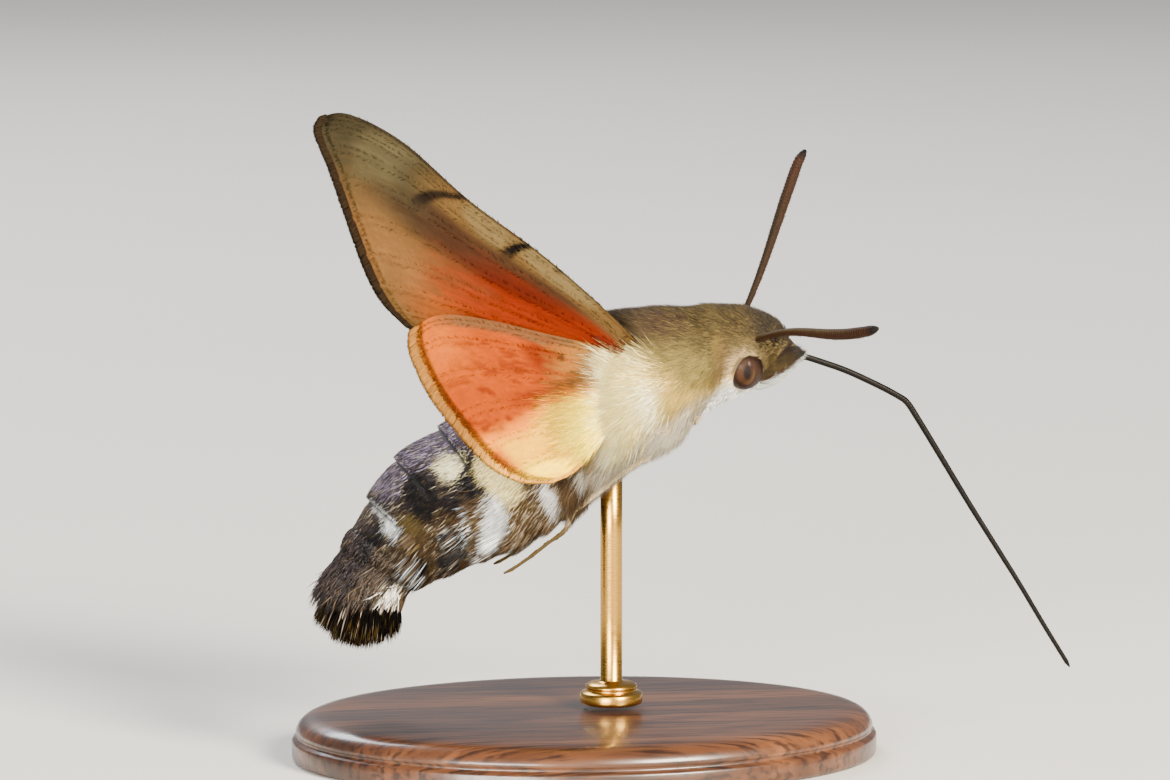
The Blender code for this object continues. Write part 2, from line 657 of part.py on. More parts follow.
def make_stand(thorax_cutter):
    """Oval wooden base with a brass rod that carries the moth under the thorax."""
    bm = bmesh.new()
    size = Matrix.Diagonal((BASE_LENGTH * 0.0005, BASE_WIDTH * 0.0005, BASE_HEIGHT * 0.001, 1.0))
    place = Matrix.Translation(mm(0, 0, BASE_HEIGHT / 2))
    bmesh.ops.create_cone(bm, cap_ends=True, segments=40, radius1=1.0, radius2=1.0, depth=1.0,
                          matrix=place @ size)
    mesh = bpy.data.meshes.new("stand_base")
    bm.to_mesh(mesh)
    bm.free()
    base = add_object("stand_base", mesh, MOTH, "base", 0.4)
    bevel = base.modifiers.new("bevel", "BEVEL")
    bevel.width = BASE_BEVEL * 0.001
    bevel.segments = 2
    bevel.limit_method = "ANGLE"

    collar_foot = BASE_HEIGHT + GAP
    profile = ((0, ROD_TOP_INSIDE), (ROD_RADIUS, ROD_TOP_INSIDE), (ROD_RADIUS, collar_foot + COLLAR_HEIGHT),
               (COLLAR_RADIUS - 0.3, collar_foot + COLLAR_HEIGHT), (COLLAR_RADIUS, collar_foot + 0.8),
               (COLLAR_RADIUS, collar_foot), (0, collar_foot))
    rod_mesh = bpy.data.meshes.new("stand_rod")
    rod_mesh.from_pydata([mm(x, 0, z) for x, z in profile], [(i, i + 1) for i in range(len(profile) - 1)], [])
    rod = add_object("stand_rod", rod_mesh, MOTH, "brass", 0.25, 1.0)
    rod.location = mm(ROD_X, 0, 0)
    screw = rod.modifiers.new("turn", "SCREW")
    screw.steps = 20
    screw.render_steps = 20
    screw.use_merge_vertices = True
    screw.merge_threshold = 0.00001
    cut(rod, thorax_cutter)


for old in list(bpy.data.objects):
    bpy.data.objects.remove(old)
MOTH = collection("hummingbird_hawk_moth")
CUTTERS = collection("cutters")

make_head()
make_eyes()
head_grown = cutter("head_cutter", body_loft("head_cutter", HEAD_STATIONS, GAP, front=-GAP))
thorax_grown = cutter("thorax_cutter", body_loft("thorax_cutter", steps(NECK, WAIST, THORAX_RINGS), GAP))
tongue_grown = make_tongue(head_grown)
make_palps(head_grown, tongue_grown)
make_feelers(head_grown)
make_thorax()
make_abdomen()
make_tail_fan()
make_wings(thorax_grown)
make_legs(thorax_grown)
make_stand(thorax_grown)
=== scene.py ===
"""The looks of a life-size hummingbird hawk moth, held as in flight on its display stand.

The moth faces +X and its left side is +Y. The sizes in each section are in millimetres, and
piece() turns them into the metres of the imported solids, in the same frame.
"""

import math

import bpy
import numpy as np
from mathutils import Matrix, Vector


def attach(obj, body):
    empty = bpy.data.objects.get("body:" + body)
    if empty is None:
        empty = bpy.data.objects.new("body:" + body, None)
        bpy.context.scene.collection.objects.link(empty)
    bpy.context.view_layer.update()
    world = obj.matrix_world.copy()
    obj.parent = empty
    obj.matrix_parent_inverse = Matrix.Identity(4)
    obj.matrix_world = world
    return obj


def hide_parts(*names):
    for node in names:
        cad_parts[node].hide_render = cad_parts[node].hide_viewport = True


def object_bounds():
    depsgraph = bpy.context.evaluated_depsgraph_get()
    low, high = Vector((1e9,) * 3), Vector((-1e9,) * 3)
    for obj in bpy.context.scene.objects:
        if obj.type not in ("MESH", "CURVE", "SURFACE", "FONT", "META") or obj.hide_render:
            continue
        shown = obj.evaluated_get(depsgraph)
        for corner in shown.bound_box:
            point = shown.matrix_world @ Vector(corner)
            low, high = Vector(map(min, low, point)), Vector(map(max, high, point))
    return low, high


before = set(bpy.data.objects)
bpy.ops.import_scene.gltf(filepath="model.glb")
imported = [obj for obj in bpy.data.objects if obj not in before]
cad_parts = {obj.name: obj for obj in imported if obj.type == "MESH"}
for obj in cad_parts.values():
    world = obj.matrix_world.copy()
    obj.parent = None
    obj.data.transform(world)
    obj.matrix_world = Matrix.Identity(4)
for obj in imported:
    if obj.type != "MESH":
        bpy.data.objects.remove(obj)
cad_low, cad_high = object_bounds()


# Camera. A long lens at the photograph's viewing angle, level with the moth's right side, a
# little from behind and above it.
AIM = Vector((0.0, 0.0, 0.020))
CAMERA_TURN, CAMERA_RISE = math.radians(-10), math.radians(7)
CAMERA_DISTANCE = 0.35135
to_camera = Vector((math.sin(CAMERA_TURN) * math.cos(CAMERA_RISE),
                    -math.cos(CAMERA_TURN) * math.cos(CAMERA_RISE), math.sin(CAMERA_RISE)))
camera = bpy.data.objects.new("camera", bpy.data.cameras.new("camera"))
camera.data.lens = 200
camera.data.sensor_width = 36
camera.location = AIM + to_camera * CAMERA_DISTANCE
camera.rotation_euler = (-to_camera).to_track_quat("-Z", "Y").to_euler()
bpy.context.scene.collection.objects.link(camera)
bpy.context.scene.camera = camera


# Light and floor. A large soft box stands towards the head on the camera's side, a weaker
# one stands low towards the tail, one lights the back, and a pale sky closes the shadows. The
# floor is a plain sheet of matt laminate.
def linear(tone):
    """The linear colour of an sRGB hex value, with alpha."""
    values = [int(tone[i:i + 2], 16) / 255 for i in (1, 3, 5)]
    return tuple(v / 12.92 if v <= 0.04045 else ((v + 0.055) / 1.055) ** 2.4 for v in values) + (1.0,)


def blank(name):
    """A material with no nodes yet."""
    made = bpy.data.materials.new(name)
    made.use_nodes = True
    made.node_tree.nodes.clear()
    return made


def add(material, kind, inputs=None, stops=(), **settings):
    """Add a node with its settings. Inputs are values, sockets or nodes, which give their first
    output, and stops are the positions and hex colours of a ramp."""
    tree = material.node_tree
    made = tree.nodes.new("ShaderNode" + kind)
    for key, value in settings.items():
        setattr(made, key, value)
    for key, value in (inputs or {}).items():
        if isinstance(value, bpy.types.Node):
            value = value.outputs[0]
        if isinstance(value, bpy.types.NodeSocket):
            tree.links.new(value, made.inputs[key])
        else:
            made.inputs[key].default_value = value
    for index, (place, tone) in enumerate(stops):
        ramp = made.color_ramp.elements
        stop = ramp[index] if index < 2 else ramp.new(place)
        stop.position, stop.color = place, linear(tone)
    return made


def soft_box(name, place, size, watts, tone):
    """A square area light that faces the moth."""
    light = bpy.data.lights.new(name, "AREA")
    light.size, light.energy, light.color = size, watts, linear(tone)[:3]
    box = bpy.data.objects.new(name, light)
    box.location = place
    box.rotation_euler = (AIM - box.location).to_track_quat("-Z", "Y").to_euler()
    bpy.context.scene.collection.objects.link(box)


soft_box("key_light", Vector((0.22, -0.42, 0.25)), 0.18, 11.0, "#fff1dc")
soft_box("fill_light", Vector((-0.25, -0.42, 0.07)), 0.24, 6.4, "#fff8f0")
soft_box("back_light", Vector((-0.14, 0.40, 0.42)), 0.26, 3.4, "#f4f8ff")
sky = bpy.data.worlds.new("pale_sky")
sky.use_nodes = True
sky.node_tree.nodes["Background"].inputs["Color"].default_value = linear("#e9edf2")
sky.node_tree.nodes["Background"].inputs["Strength"].default_value = 0.38
bpy.context.scene.world = sky

laminate = blank("matt_laminate")
# A faint mottle keeps the floor from looking like paper.
mottle = add(laminate, "TexNoise", {"Scale": 40.0, "Detail": 3.0})
add(laminate, "OutputMaterial", {"Surface": add(laminate, "BsdfPrincipled", {
    "Base Color": add(laminate, "ValToRGB", {"Fac": mottle}, stops=((0.3, "#dcdad5"), (0.7, "#e1dfda"))),
    "Roughness": 0.75})})
floor_mesh = bpy.data.meshes.new("floor")
floor_mesh.from_pydata([(-3, -3, 0), (3, -3, 0), (3, 3, 0), (-3, 3, 0)], [], [(0, 1, 2, 3)])
floor = bpy.data.objects.new("floor", floor_mesh)
floor_mesh.materials.append(laminate)
bpy.context.scene.collection.objects.link(floor)


# Stand base. An oval of dark walnut about 32 by 25 mm, turned with a fine bead round its rim,
# then oiled and polished. It stands flat on the floor.
def grid(rows, columns, closed):
    """Triangles between rows of points, each row closed to a ring if asked."""
    i, j = np.meshgrid(np.arange(rows - 1), np.arange(columns if closed else columns - 1), indexing="ij")
    near, far = i * columns, (i + 1) * columns
    after = (j + 1) % columns
    a, b, c, d = near + j, near + after, far + after, far + j
    return np.concatenate([np.stack([a, d, c], -1).reshape(-1, 3), np.stack([a, c, b], -1).reshape(-1, 3)])


def piece(name, points, faces, material, replaces=(), values=None, bake=None):
    """A mesh piece from points in millimetres, with named values and a bake map a point each."""
    points = np.asarray(points, float).reshape(-1, 3)
    mesh = bpy.data.meshes.new(name)
    mesh.vertices.add(len(points))
    mesh.vertices.foreach_set("co", (points * 0.001).astype(np.float32).ravel())
    mesh.loops.add(faces.size)
    mesh.loops.foreach_set("vertex_index", faces.astype(np.int32).ravel())
    mesh.polygons.add(len(faces))
    mesh.polygons.foreach_set("loop_start", np.arange(0, faces.size, faces.shape[1], dtype=np.int32))
    mesh.update(calc_edges=True)
    for key, numbers in (values or {}).items():
        numbers = np.asarray(numbers, np.float32)
        if numbers.ndim == 1:
            mesh.attributes.new(key, "FLOAT", "POINT").data.foreach_set("value", numbers)
        else:
            tint = np.concatenate([numbers[:, :3], np.ones((len(numbers), 1), np.float32)], 1)
            mesh.attributes.new(key, "FLOAT_COLOR", "POINT").data.foreach_set("color", tint.ravel())
    if bake is not None:
        layer = mesh.uv_layers.new(name="OFBake")
        layer.data.foreach_set("uv", bake[faces.ravel()].astype(np.float32).ravel())
    mesh.shade_smooth()
    mesh.materials.append(material)
    made = bpy.data.objects.new(name, mesh)
    bpy.context.scene.collection.objects.link(made)
    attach(made, "root")
    if replaces:
        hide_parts(*replaces)
    return made


def per_mm(size):
    """The texture scale that repeats once in so many millimetres."""
    return 1000.0 / size


# Walnut, oiled: dark brown with long fine pores and slow bands of heartwood.
walnut = blank("oiled_walnut")
wood_place = add(walnut, "Mapping", {"Vector": add(walnut, "TexCoord").outputs["Object"],
                                     "Scale": (0.07, 1.0, 0.6)})
bands = add(walnut, "TexNoise", {"Vector": wood_place, "Scale": per_mm(2.6), "Detail": 4.0,
                                 "Distortion": 0.8})
pores = add(walnut, "TexNoise", {"Vector": wood_place, "Scale": per_mm(0.28), "Detail": 3.0})
band_tone = add(walnut, "ValToRGB", {"Fac": bands},
                stops=((0.30, "#2b170c"), (0.72, "#6e4426"), (0.5, "#4a2b17")))
pore_tone = add(walnut, "ValToRGB", {"Fac": pores}, stops=((0.36, "#2a1a10"), (0.52, "#ffffff")))
add(walnut, "OutputMaterial", {"Surface": add(walnut, "BsdfPrincipled", {
    "Base Color": add(walnut, "MixRGB", {"Fac": 0.75, "Color1": band_tone, "Color2": pore_tone},
                      blend_type="MULTIPLY"),
    "Roughness": add(walnut, "MapRange", {"Value": pores, "To Min": 0.42, "To Max": 0.26}),
    "Coat Weight": 0.35, "Coat Roughness": 0.12,
    "Normal": add(walnut, "Bump", {"Height": pores, "Strength": 0.25, "Distance": 0.00006})})})

BASE_HALF, BASE_SIDES = (16.0, 12.5), 160
BASE_RIM = (                     # inset from the edge, height
    (0.30, 0.0), (0.06, 0.10), (0.0, 0.32), (0.0, 1.05), (0.06, 1.18), (0.26, 1.24), (0.32, 1.36),
    (0.26, 1.48), (0.22, 1.55), (0.25, 1.72), (0.38, 1.98), (0.62, 2.22), (0.95, 2.38), (1.45, 2.47),
    (2.2, 2.5), (6.0, 2.5))
around = np.linspace(0, 2 * np.pi, BASE_SIDES, endpoint=False)
rim = [np.stack([(BASE_HALF[0] - inset) * np.cos(around), (BASE_HALF[1] - inset) * np.sin(around),
                 np.full(BASE_SIDES, z)], -1) for inset, z in BASE_RIM]
underside, top = (ring * (0.01, 0.01, 1.0) for ring in (rim[0], rim[-1]))
piece("stand_base_turned", np.concatenate([underside, *rim, top]), grid(len(rim) + 2, BASE_SIDES, True),
      walnut, ["stand_base"])


# Stand rod. A thin brass rod with a turned collar that is screwed down to the base. Its top end
# is hidden in the fur under the thorax.
ROD_X, ROD_TOP, ROD_SIDES = 1.45, 16.9, 48
ROD_PROFILE = (                  # radius, height
    (0.05, 2.8), (1.55, 2.8), (1.68, 2.86), (1.70, 3.0), (1.70, 3.35), (1.62, 3.46), (1.42, 3.50),
    (1.36, 3.56), (1.36, 3.64), (1.42, 3.70), (1.40, 3.82), (1.20, 3.96), (0.80, 4.0), (0.66, 4.04),
    (0.60, 4.12), (0.60, 8.0), (0.60, 12.0), (0.60, ROD_TOP), (0.05, ROD_TOP))

# Brass, turned and lacquered: warm yellow metal with fine rings from the tool.
brass = blank("turned_brass")
rings = add(brass, "TexNoise", {"Scale": per_mm(0.12), "Vector": add(brass, "Mapping", {
    "Vector": add(brass, "TexCoord").outputs["Object"], "Scale": (0.05, 0.05, 1.0)})})
tarnish = add(brass, "TexNoise", {"Scale": per_mm(1.8), "Detail": 4.0})
add(brass, "OutputMaterial", {"Surface": add(brass, "BsdfPrincipled", {
    "Base Color": add(brass, "ValToRGB", {"Fac": tarnish}, stops=((0.35, "#a97c34"), (0.65, "#cfa24e"))),
    "Metallic": 1.0,
    "Roughness": add(brass, "MapRange", {"Value": rings, "To Min": 0.2, "To Max": 0.36}),
    "Normal": add(brass, "Bump", {"Height": rings, "Strength": 0.2, "Distance": 0.00002})})})

turn = np.linspace(0, 2 * np.pi, ROD_SIDES, endpoint=False)
rod_rings = [np.stack([ROD_X + r * np.cos(turn), r * np.sin(turn), np.full(ROD_SIDES, z)], -1)
             for r, z in ROD_PROFILE]
piece("stand_rod_turned", np.concatenate(rod_rings), grid(len(rod_rings), ROD_SIDES, True), brass,
      ["stand_rod"])


# Body skin. Head, thorax and abdomen are one skin of dark chitin under the coat, with no seam.
# It lies inside the solids by the depth of the hair, and the abdomen's plates lap over each
# other towards the tail.
BODY_SECTIONS = np.array((       # back (x, z), belly (x, z), half width, from snout to tail
    (11.38, 22.62, 10.95, 21.60, 0.66), (10.42, 23.66, 9.90, 20.60, 1.52), (8.95, 24.40, 8.60, 19.75, 2.35),
    (7.35, 24.66, 7.05, 18.98, 2.95), (5.80, 24.68, 5.75, 17.95, 3.50), (3.84, 24.66, 4.36, 16.94, 4.05),
    (1.26, 24.38, 2.56, 15.98, 4.20), (-1.37, 23.29, 1.06, 14.90, 4.00), (-3.83, 21.60, -0.54, 13.65, 3.60),
    (-5.75, 20.12, -1.98, 12.56, 3.70), (-7.55, 18.42, -3.52, 11.57, 3.90),
    (-9.84, 16.95, -4.89, 11.22, 4.00), (-11.32, 15.25, -6.53, 10.66, 3.80),
    (-12.41, 13.21, -8.17, 10.00, 3.20), (-13.13, 11.71, -9.32, 9.60, 2.60),
    (-13.68, 10.25, -9.98, 9.22, 2.20)))
NECK, TAIL_END = 3, 15           # the sections where the head joins and where the fan starts
PLATE_EDGES = (7.9, 9.05, 10.17, 11.27, 12.42, 13.6, 15.0)     # where each plate of the abdomen starts
PLATE_STEP, PLATE_RISE = 0.20, 0.9       # how far a plate stands out, and over which share of it
HEAD_PIVOT, HEAD_YAW, HEAD_ROLL = np.array((7.4, 0.0, 22.0)), 6.0, 8.0
COAT_DEPTH = (                   # section, depth of the coat
    (0, 0.14), (1, 0.22), (2, 0.30), (3, 0.42), (4, 0.55), (6, 0.60), (7.4, 0.55), (8.3, 0.22), (9, 0.17),
    (15, 0.20))


def spline(table, t):
    """Catmull-Rom values at t (0 to len - 1) through rows of numbers."""
    table, t = np.asarray(table, float), np.asarray(t, float)
    rows = np.vstack([2 * table[0] - table[1], table, 2 * table[-1] - table[-2]])
    i = np.clip(t.astype(int), 0, len(table) - 2)
    f = (t - i)[..., None]
    p0, p1, p2, p3 = rows[i], rows[i + 1], rows[i + 2], rows[i + 3]
    return 0.5 * (2 * p1 + (p2 - p0) * f + (2 * p0 - 5 * p1 + 4 * p2 - p3) * f ** 2
                  + (3 * p1 - p0 - 3 * p2 + p3) * f ** 3)


def smooth(t):
    """Eased step from 0 to 1."""
    t = np.clip(t, 0.0, 1.0)
    return t * t * (3 - 2 * t)


def unit(vectors):
    """The same directions at a length of 1."""
    return vectors / np.maximum(np.linalg.norm(vectors, axis=-1, keepdims=True), 1e-9)


def head_turn(points, u):
    """Turn points of the head as it is held: full at the face, none at the neck."""
    share = smooth((NECK - np.asarray(u, float)) / 1.2)
    x, y, z = np.moveaxis(np.asarray(points, float) - HEAD_PIVOT, -1, 0)
    roll, yaw = np.radians(HEAD_ROLL) * share, np.radians(HEAD_YAW) * share
    y, z = y * np.cos(roll) - z * np.sin(roll), y * np.sin(roll) + z * np.cos(roll)
    x, y = x * np.cos(yaw) - y * np.sin(yaw), x * np.sin(yaw) + y * np.cos(yaw)
    return np.stack([x, y, z], -1) + HEAD_PIVOT


def body(u, angle, out):
    """Points of the body's outline: section, angle up from the belly line (a negative one is
    the right side), and distance off the outline."""
    u, angle, out = np.broadcast_arrays(np.asarray(u, float), angle, out)
    rows = spline(BODY_SECTIONS, u)
    middle, upward = (rows[..., :2] + rows[..., 2:4]) / 2, (rows[..., :2] - rows[..., 2:4]) / 2
    turned = np.radians(angle)
    rise = -np.cos(turned) * (1 + out / np.linalg.norm(upward, axis=-1))
    x, z = (middle[..., i] + rise * upward[..., i] for i in (0, 1))
    return head_turn(np.stack([x, np.sin(turned) * (rows[..., 4] + out), z], -1), u)


def coat_depth(u):
    """How deep the coat is at a section."""
    return np.interp(u, *zip(*COAT_DEPTH))


def plate_place(u):
    """How far along its plate a section lies, and how far the plate still reaches behind it."""
    u = np.asarray(u, float)
    plate = np.clip(np.searchsorted(PLATE_EDGES, u, side="right") - 1, 0, len(PLATE_EDGES) - 2)
    start, end = np.take(PLATE_EDGES, plate), np.take(PLATE_EDGES, plate + 1)
    return (u - start) / (end - start), end - u


def plate_lift(u):
    """How far an abdomen plate stands out at a section."""
    u = np.asarray(u, float)
    within = (u > PLATE_EDGES[0]) & (u < TAIL_END)
    return np.where(within, PLATE_STEP * np.clip(plate_place(u)[0] / PLATE_RISE, 0.0, 1.0), 0.0)


def skin(u, angle, out):
    """Points off the skin under the coat."""
    return body(u, angle, out - coat_depth(u) + plate_lift(u))


CLOUD_SIDE = 97
CLOUD = np.random.default_rng(1).uniform(-1, 1, (CLOUD_SIDE, CLOUD_SIDE))


def cloud(p, q):
    """Irregular soft values between -1 and 1 over two coordinates, with one change a unit."""
    p, q = np.broadcast_arrays(np.asarray(p, float), q)
    i, j = np.floor(p).astype(int), np.floor(q).astype(int)
    s, t = smooth(p - i), smooth(q - j)

    def row(k):
        here, beyond = (CLOUD[a % CLOUD_SIDE, k % CLOUD_SIDE] for a in (i, i + 1))
        return here * (1 - s) + beyond * s
    return row(j) * (1 - t) + row(j + 1) * t


def spot(p, q, at, long, tall, edge=0.5):
    """1 inside an oval patch, with a soft edge."""
    return smooth((1.0 + edge / 2 - np.hypot((p - at[0]) / long, (q - at[1]) / tall)) / edge)


def plain(places, tone):
    """One hex colour for all the places."""
    return np.zeros(np.shape(places) + (3,)) + linear(tone)[:3]


def painted(base, *layers):
    """Colours with hex tones laid over them one after another, each by its share."""
    for tone, share in layers:
        base = base + (np.array(linear(tone)[:3]) - base) * np.clip(share, 0, 1)[..., None]
    return base


# Marks on the abdomen, the same on both sides, one of them a painted highlight: hex colour, section, angle up
# from the belly, half length in sections, half height in degrees, and lean in sections for each degree.
MARKS = (
    ("#0a070a", 10.42, 108, 0.34, 15, 0.0), ("#0b090d", 11.50, 122, 0.42, 24, 0.006),
    ("#0d0a0c", 11.05, 96, 0.30, 12, 0.0), ("#08070a", 11.80, 66, 0.42, 22, 0.012),
    ("#0b090b", 12.95, 66, 0.34, 18, 0.012), ("#0d0a0d", 13.15, 134, 0.36, 14, 0.0),
    ("#fff6c4", 10.58, 129, 0.30, 11, 0.004), ("#f8ffff", 10.50, 62, 0.38, 30, 0.0155),
    ("#60502a", 12.20, 104, 0.28, 14, 0.004), ("#eefaff", 12.62, 121, 0.19, 13, 0.0),
    ("#fffdf6", 8.74, 52, 0.23, 20, 0.0), ("#f6eedc", 7.62, 52, 0.13, 11, 0.0),
    ("#dcebf4", 11.42, 66, 0.07, 18, 0.020), ("#bccad4", 13.10, 66, 0.08, 12, 0.018),
    # The thin pale line at section 12.50 high on the back is a painted highlight along a plate's seam.
    ("#fffbea", 14.45, 62, 0.50, 15, 0.0), ("#dfe8ea", 12.50, 152, 0.07, 24, 0.0),
    ("#ffe8a0", 9.68, 99, 0.45, 25, -0.006),
)


def mark_share(u, angle, side, at, up, long, tall, lean):
    """How much of one of the marks shows at a place."""
    return smooth((1.20 - np.hypot((u - at + lean * (angle - up)) / long, (side - up) / tall)) / 0.4)


def unmarked(u, angle):
    """1 between the marks and 0 on them."""
    angle = np.abs(angle)
    return 1 - np.max([mark_share(u, angle, angle, *mark[1:]) for mark in MARKS], axis=0)


def coat_tone(u, angle):
    """The coat's colour at a place on the body, for skin and hair alike."""
    u, angle = np.broadcast_arrays(np.asarray(u, float), np.abs(angle))
    mottle = cloud(u * 3.1, angle / 9) + 0.6 * cloud(u * 7.7, angle / 4.5 + 40)
    side = angle + 7 * mottle
    strands = cloud(u * 9 + angle / 9, angle / 4)
    olive_from = 78 + 42 * smooth((u - 4.0) / 1.8)
    fore = painted(
        plain(u, "#ffda74"),
        # the chest: cream with brown strands, and a white throat
        ("#fff6d8", smooth((68 - side) / 18)),
        ("#846c5e", 0.8 * smooth((strands + 0.05) / 0.35) * smooth((76 - angle) / 14)
         * smooth((u - 3.1) / 0.4)),
        ("#f4faf4", smooth((54 - side) / 14) * smooth((3.6 - u) / 0.7)),
        # the back: olive, browner towards its middle and the wings
        ("#9a8a4e", smooth((side - olive_from + 14) / 22)),
        ("#6a5c38", smooth((side - olive_from - 14) / 28)),
        ("#463a20", smooth((side - olive_from - 40) / 30)),
        ("#5a4436", 0.75 * spot(u, angle, (5.5, 152), 1.3, 28, 1.0)),
        # the neck and head: darker, with a gold and a rusty spot behind the eye
        ("#685836", 0.85 * smooth((3.9 - u) / 0.7) * smooth((side - 60) / 16)),
        ("#463a26", 0.7 * smooth((3.2 - u) / 0.8) * smooth((side - 84) / 16)),
        ("#b4984a", 0.7 * spot(u, angle, (3.2, 106), 0.26, 12, 1.0) * smooth(0.6 + mottle)),
        ("#363028", 0.9 * smooth((2.4 - u) / 0.8) * smooth((side - 92) / 20)),
        ("#7c5634", 0.55 * spot(u, angle, (2.98, 86), 0.16, 26, 1.0)))
    behind = u[..., None] - np.array(PLATE_EDGES)
    behind = np.where(behind < 0, 9.0, behind).min(-1)
    plates = painted(
        plain(u, "#503c24"),
        # the belly: brown, black along its middle
        ("#806440", 0.75 * smooth((mottle + 0.1) / 0.5) * smooth((76 - side) / 20)
         * smooth((10.2 - u) / 0.4)),
        ("#1d1512", 0.8 * smooth((34 - side) / 16) * smooth((u - 9.0) / 0.8)),
        # the back: black, then lilac grey down to the last plates, partly the scales' grey and partly painted
        # sheen
        ("#221a1e", smooth((side - 92) / 20)),
        ("#443b46", smooth((side - 138) / 14) * smooth((12.4 - u) / 0.3)),
        ("#605464", 0.7 * smooth((side - 132) / 14) * smooth((10.9 - u + 0.3 * mottle) / 0.3)),
        ("#3a2f2c", 0.8 * smooth((side - 138) / 14) * smooth((u - 12.5) / 0.3)),
        ("#3e3226", 0.8 * smooth((u - 12.7) / 0.3) * smooth((side - 60) / 20) * smooth((128 - side) / 14)),
        *((mark[0], mark_share(u, angle, side, *mark[1:])) for mark in MARKS),
        # painted shade: the dark line where a plate comes out from under the one before
        ("#030203", 0.95 * smooth((0.085 - behind) / 0.04) * smooth((angle - 108) / 16)))
    rear = smooth((u - 7.25 + 0.3 * np.cos(np.radians(angle)) + 0.18 * mottle) / 0.6)
    return fore + (plates - fore) * rear[..., None]


# Chitin with short down: the coat's colours, dull and uneven, seen only between the hairs.
chitin = blank("downy_chitin")
down = add(chitin, "TexNoise", {"Scale": per_mm(0.12), "Detail": 3.0})
add(chitin, "OutputMaterial", {"Surface": add(chitin, "BsdfPrincipled", {
    "Base Color": add(chitin, "MixRGB", {
        "Fac": 0.55, "Color1": add(chitin, "Attribute", attribute_name="coat"),
        "Color2": add(chitin, "ValToRGB", {"Fac": down}, stops=((0.35, "#5a5048"), (0.62, "#ffffff")))},
        blend_type="MULTIPLY"),
    "Roughness": 0.6,
    "Normal": add(chitin, "Bump", {"Height": down, "Strength": 0.5, "Distance": 0.00008})})})

SKIN_STEP, SKIN_SIDES, SKIN_SHADE = 0.08, 180, 0.7       # the skin is a little darker than its coat
PLATE_ROWS = (0.03, 0.12, 0.25, 0.4, 0.55, 0.7, 0.82, 0.92, 0.985)
stations = [(u, 0.0) for u in np.arange(0.0, PLATE_EDGES[0], SKIN_STEP)]
for start, end in zip(PLATE_EDGES, PLATE_EDGES[1:]):
    stations += [(start + (end - start) * share, PLATE_STEP * min(share / PLATE_RISE, 1.0))
                 for share in PLATE_ROWS]
    stations += [(end - 0.004, PLATE_STEP * 0.5), (end - 0.01, 0.0)]       # the edge turns under


def closed(rows):
    """Rows of a surface with a small ring more at each end, so that it looks closed."""
    ends = [row.mean(0) + (row - row.mean(0)) * 0.02 for row in (rows[0], rows[-1])]
    return np.concatenate([ends[0][None], rows, ends[1][None]])


skin_u, skin_lift = (np.array(column)[:, None] for column in zip(*stations))
skin_angle = np.linspace(-180, 180, SKIN_SIDES, endpoint=False)[None, :]
skin_points = closed(body(skin_u, skin_angle, skin_lift - coat_depth(skin_u)))
skin_tones = coat_tone(np.concatenate([skin_u[:1], skin_u, skin_u[-1:]]), skin_angle)
piece("body_skin", skin_points, grid(len(skin_points), SKIN_SIDES, True), chitin,
      ["head", "thorax", "abdomen"], {"coat": skin_tones.reshape(-1, 3) * SKIN_SHADE})


# Eyes. Large round compound eyes, glossy and set in the fur, brown, with the dark false pupil painted in as
# shade and the pale arc below it painted in as a highlight, both fixed on the side of each eye.
EYE_CENTRE, EYE_RADII = np.array((8.34, 1.56, 21.36)), np.array((1.04, 1.05, 1.15))
EYE_ROWS, EYE_SIDES = 72, 96
SIDES = ((-1, "right"), (1, "left"))

# Cornea: clear hard facets over brown pigment. Real facets are 0.03 mm, drawn a little over
# twice that, so that they show.
cornea = blank("faceted_cornea")
facets = add(cornea, "TexVoronoi", {"Scale": per_mm(0.07), "Randomness": 0.25})
add(cornea, "OutputMaterial", {"Surface": add(cornea, "BsdfPrincipled", {
    "Base Color": add(cornea, "MixRGB", {
        "Fac": 0.35, "Color1": add(cornea, "Attribute", attribute_name="coat"),
        "Color2": add(cornea, "ValToRGB", {"Fac": facets}, stops=((0.0, "#ffffff"), (0.6, "#6a5040")))},
        blend_type="MULTIPLY"),
    "Roughness": 0.42, "IOR": 1.45, "Specular IOR Level": 0.16, "Coat Weight": 0.06, "Coat Roughness": 0.08,
    "Normal": add(cornea, "Bump", {"Height": facets, "Strength": 0.35, "Distance": 0.00003})})})

latitude = np.linspace(0.01, np.pi - 0.01, EYE_ROWS)[:, None]
longitude = np.linspace(0, 2 * np.pi, EYE_SIDES, endpoint=False)[None, :]
ball = np.stack([np.sin(latitude) * np.cos(longitude), np.cos(latitude) + 0 * longitude,
                 np.sin(latitude) * np.sin(longitude)], -1)
for side, word in SIDES:
    globe = ball * (1, side, 1)
    x, z = globe[..., 0], globe[..., 2]
    arc_highlight = np.abs(np.hypot((x + 0.10) / 0.34, (z - 0.02) / 0.50) - 1.0)
    false_pupil_shade = np.hypot((x + 0.12) / 0.18, (z - 0.04) / 0.34)
    # painted shade for the false pupil, and a painted highlight for the pale arc below it
    tone = painted(
        plain(x, "#321c0c"),
        ("#422a16", smooth((-x - 0.05) / 0.5)),
        ("#1c0a04", smooth((np.hypot(x, z) - 0.54) / 0.2)),
        ("#5e4a2a", 0.4 * smooth((0.30 - arc_highlight) / 0.24) * smooth((x - z * 0.6 + 0.02) / 0.3)),
        ("#120603", smooth((1.25 - false_pupil_shade) / 0.5)))
    points = head_turn(EYE_CENTRE * (1, side, 1) + globe * EYE_RADII, 0.0)
    faces = grid(EYE_ROWS, EYE_SIDES, True)
    piece(f"eye_{word}_cornea", points, faces if side < 0 else faces[:, ::-1], cornea,
          [f"eye_{word}"], {"coat": tone.reshape(-1, 3)})
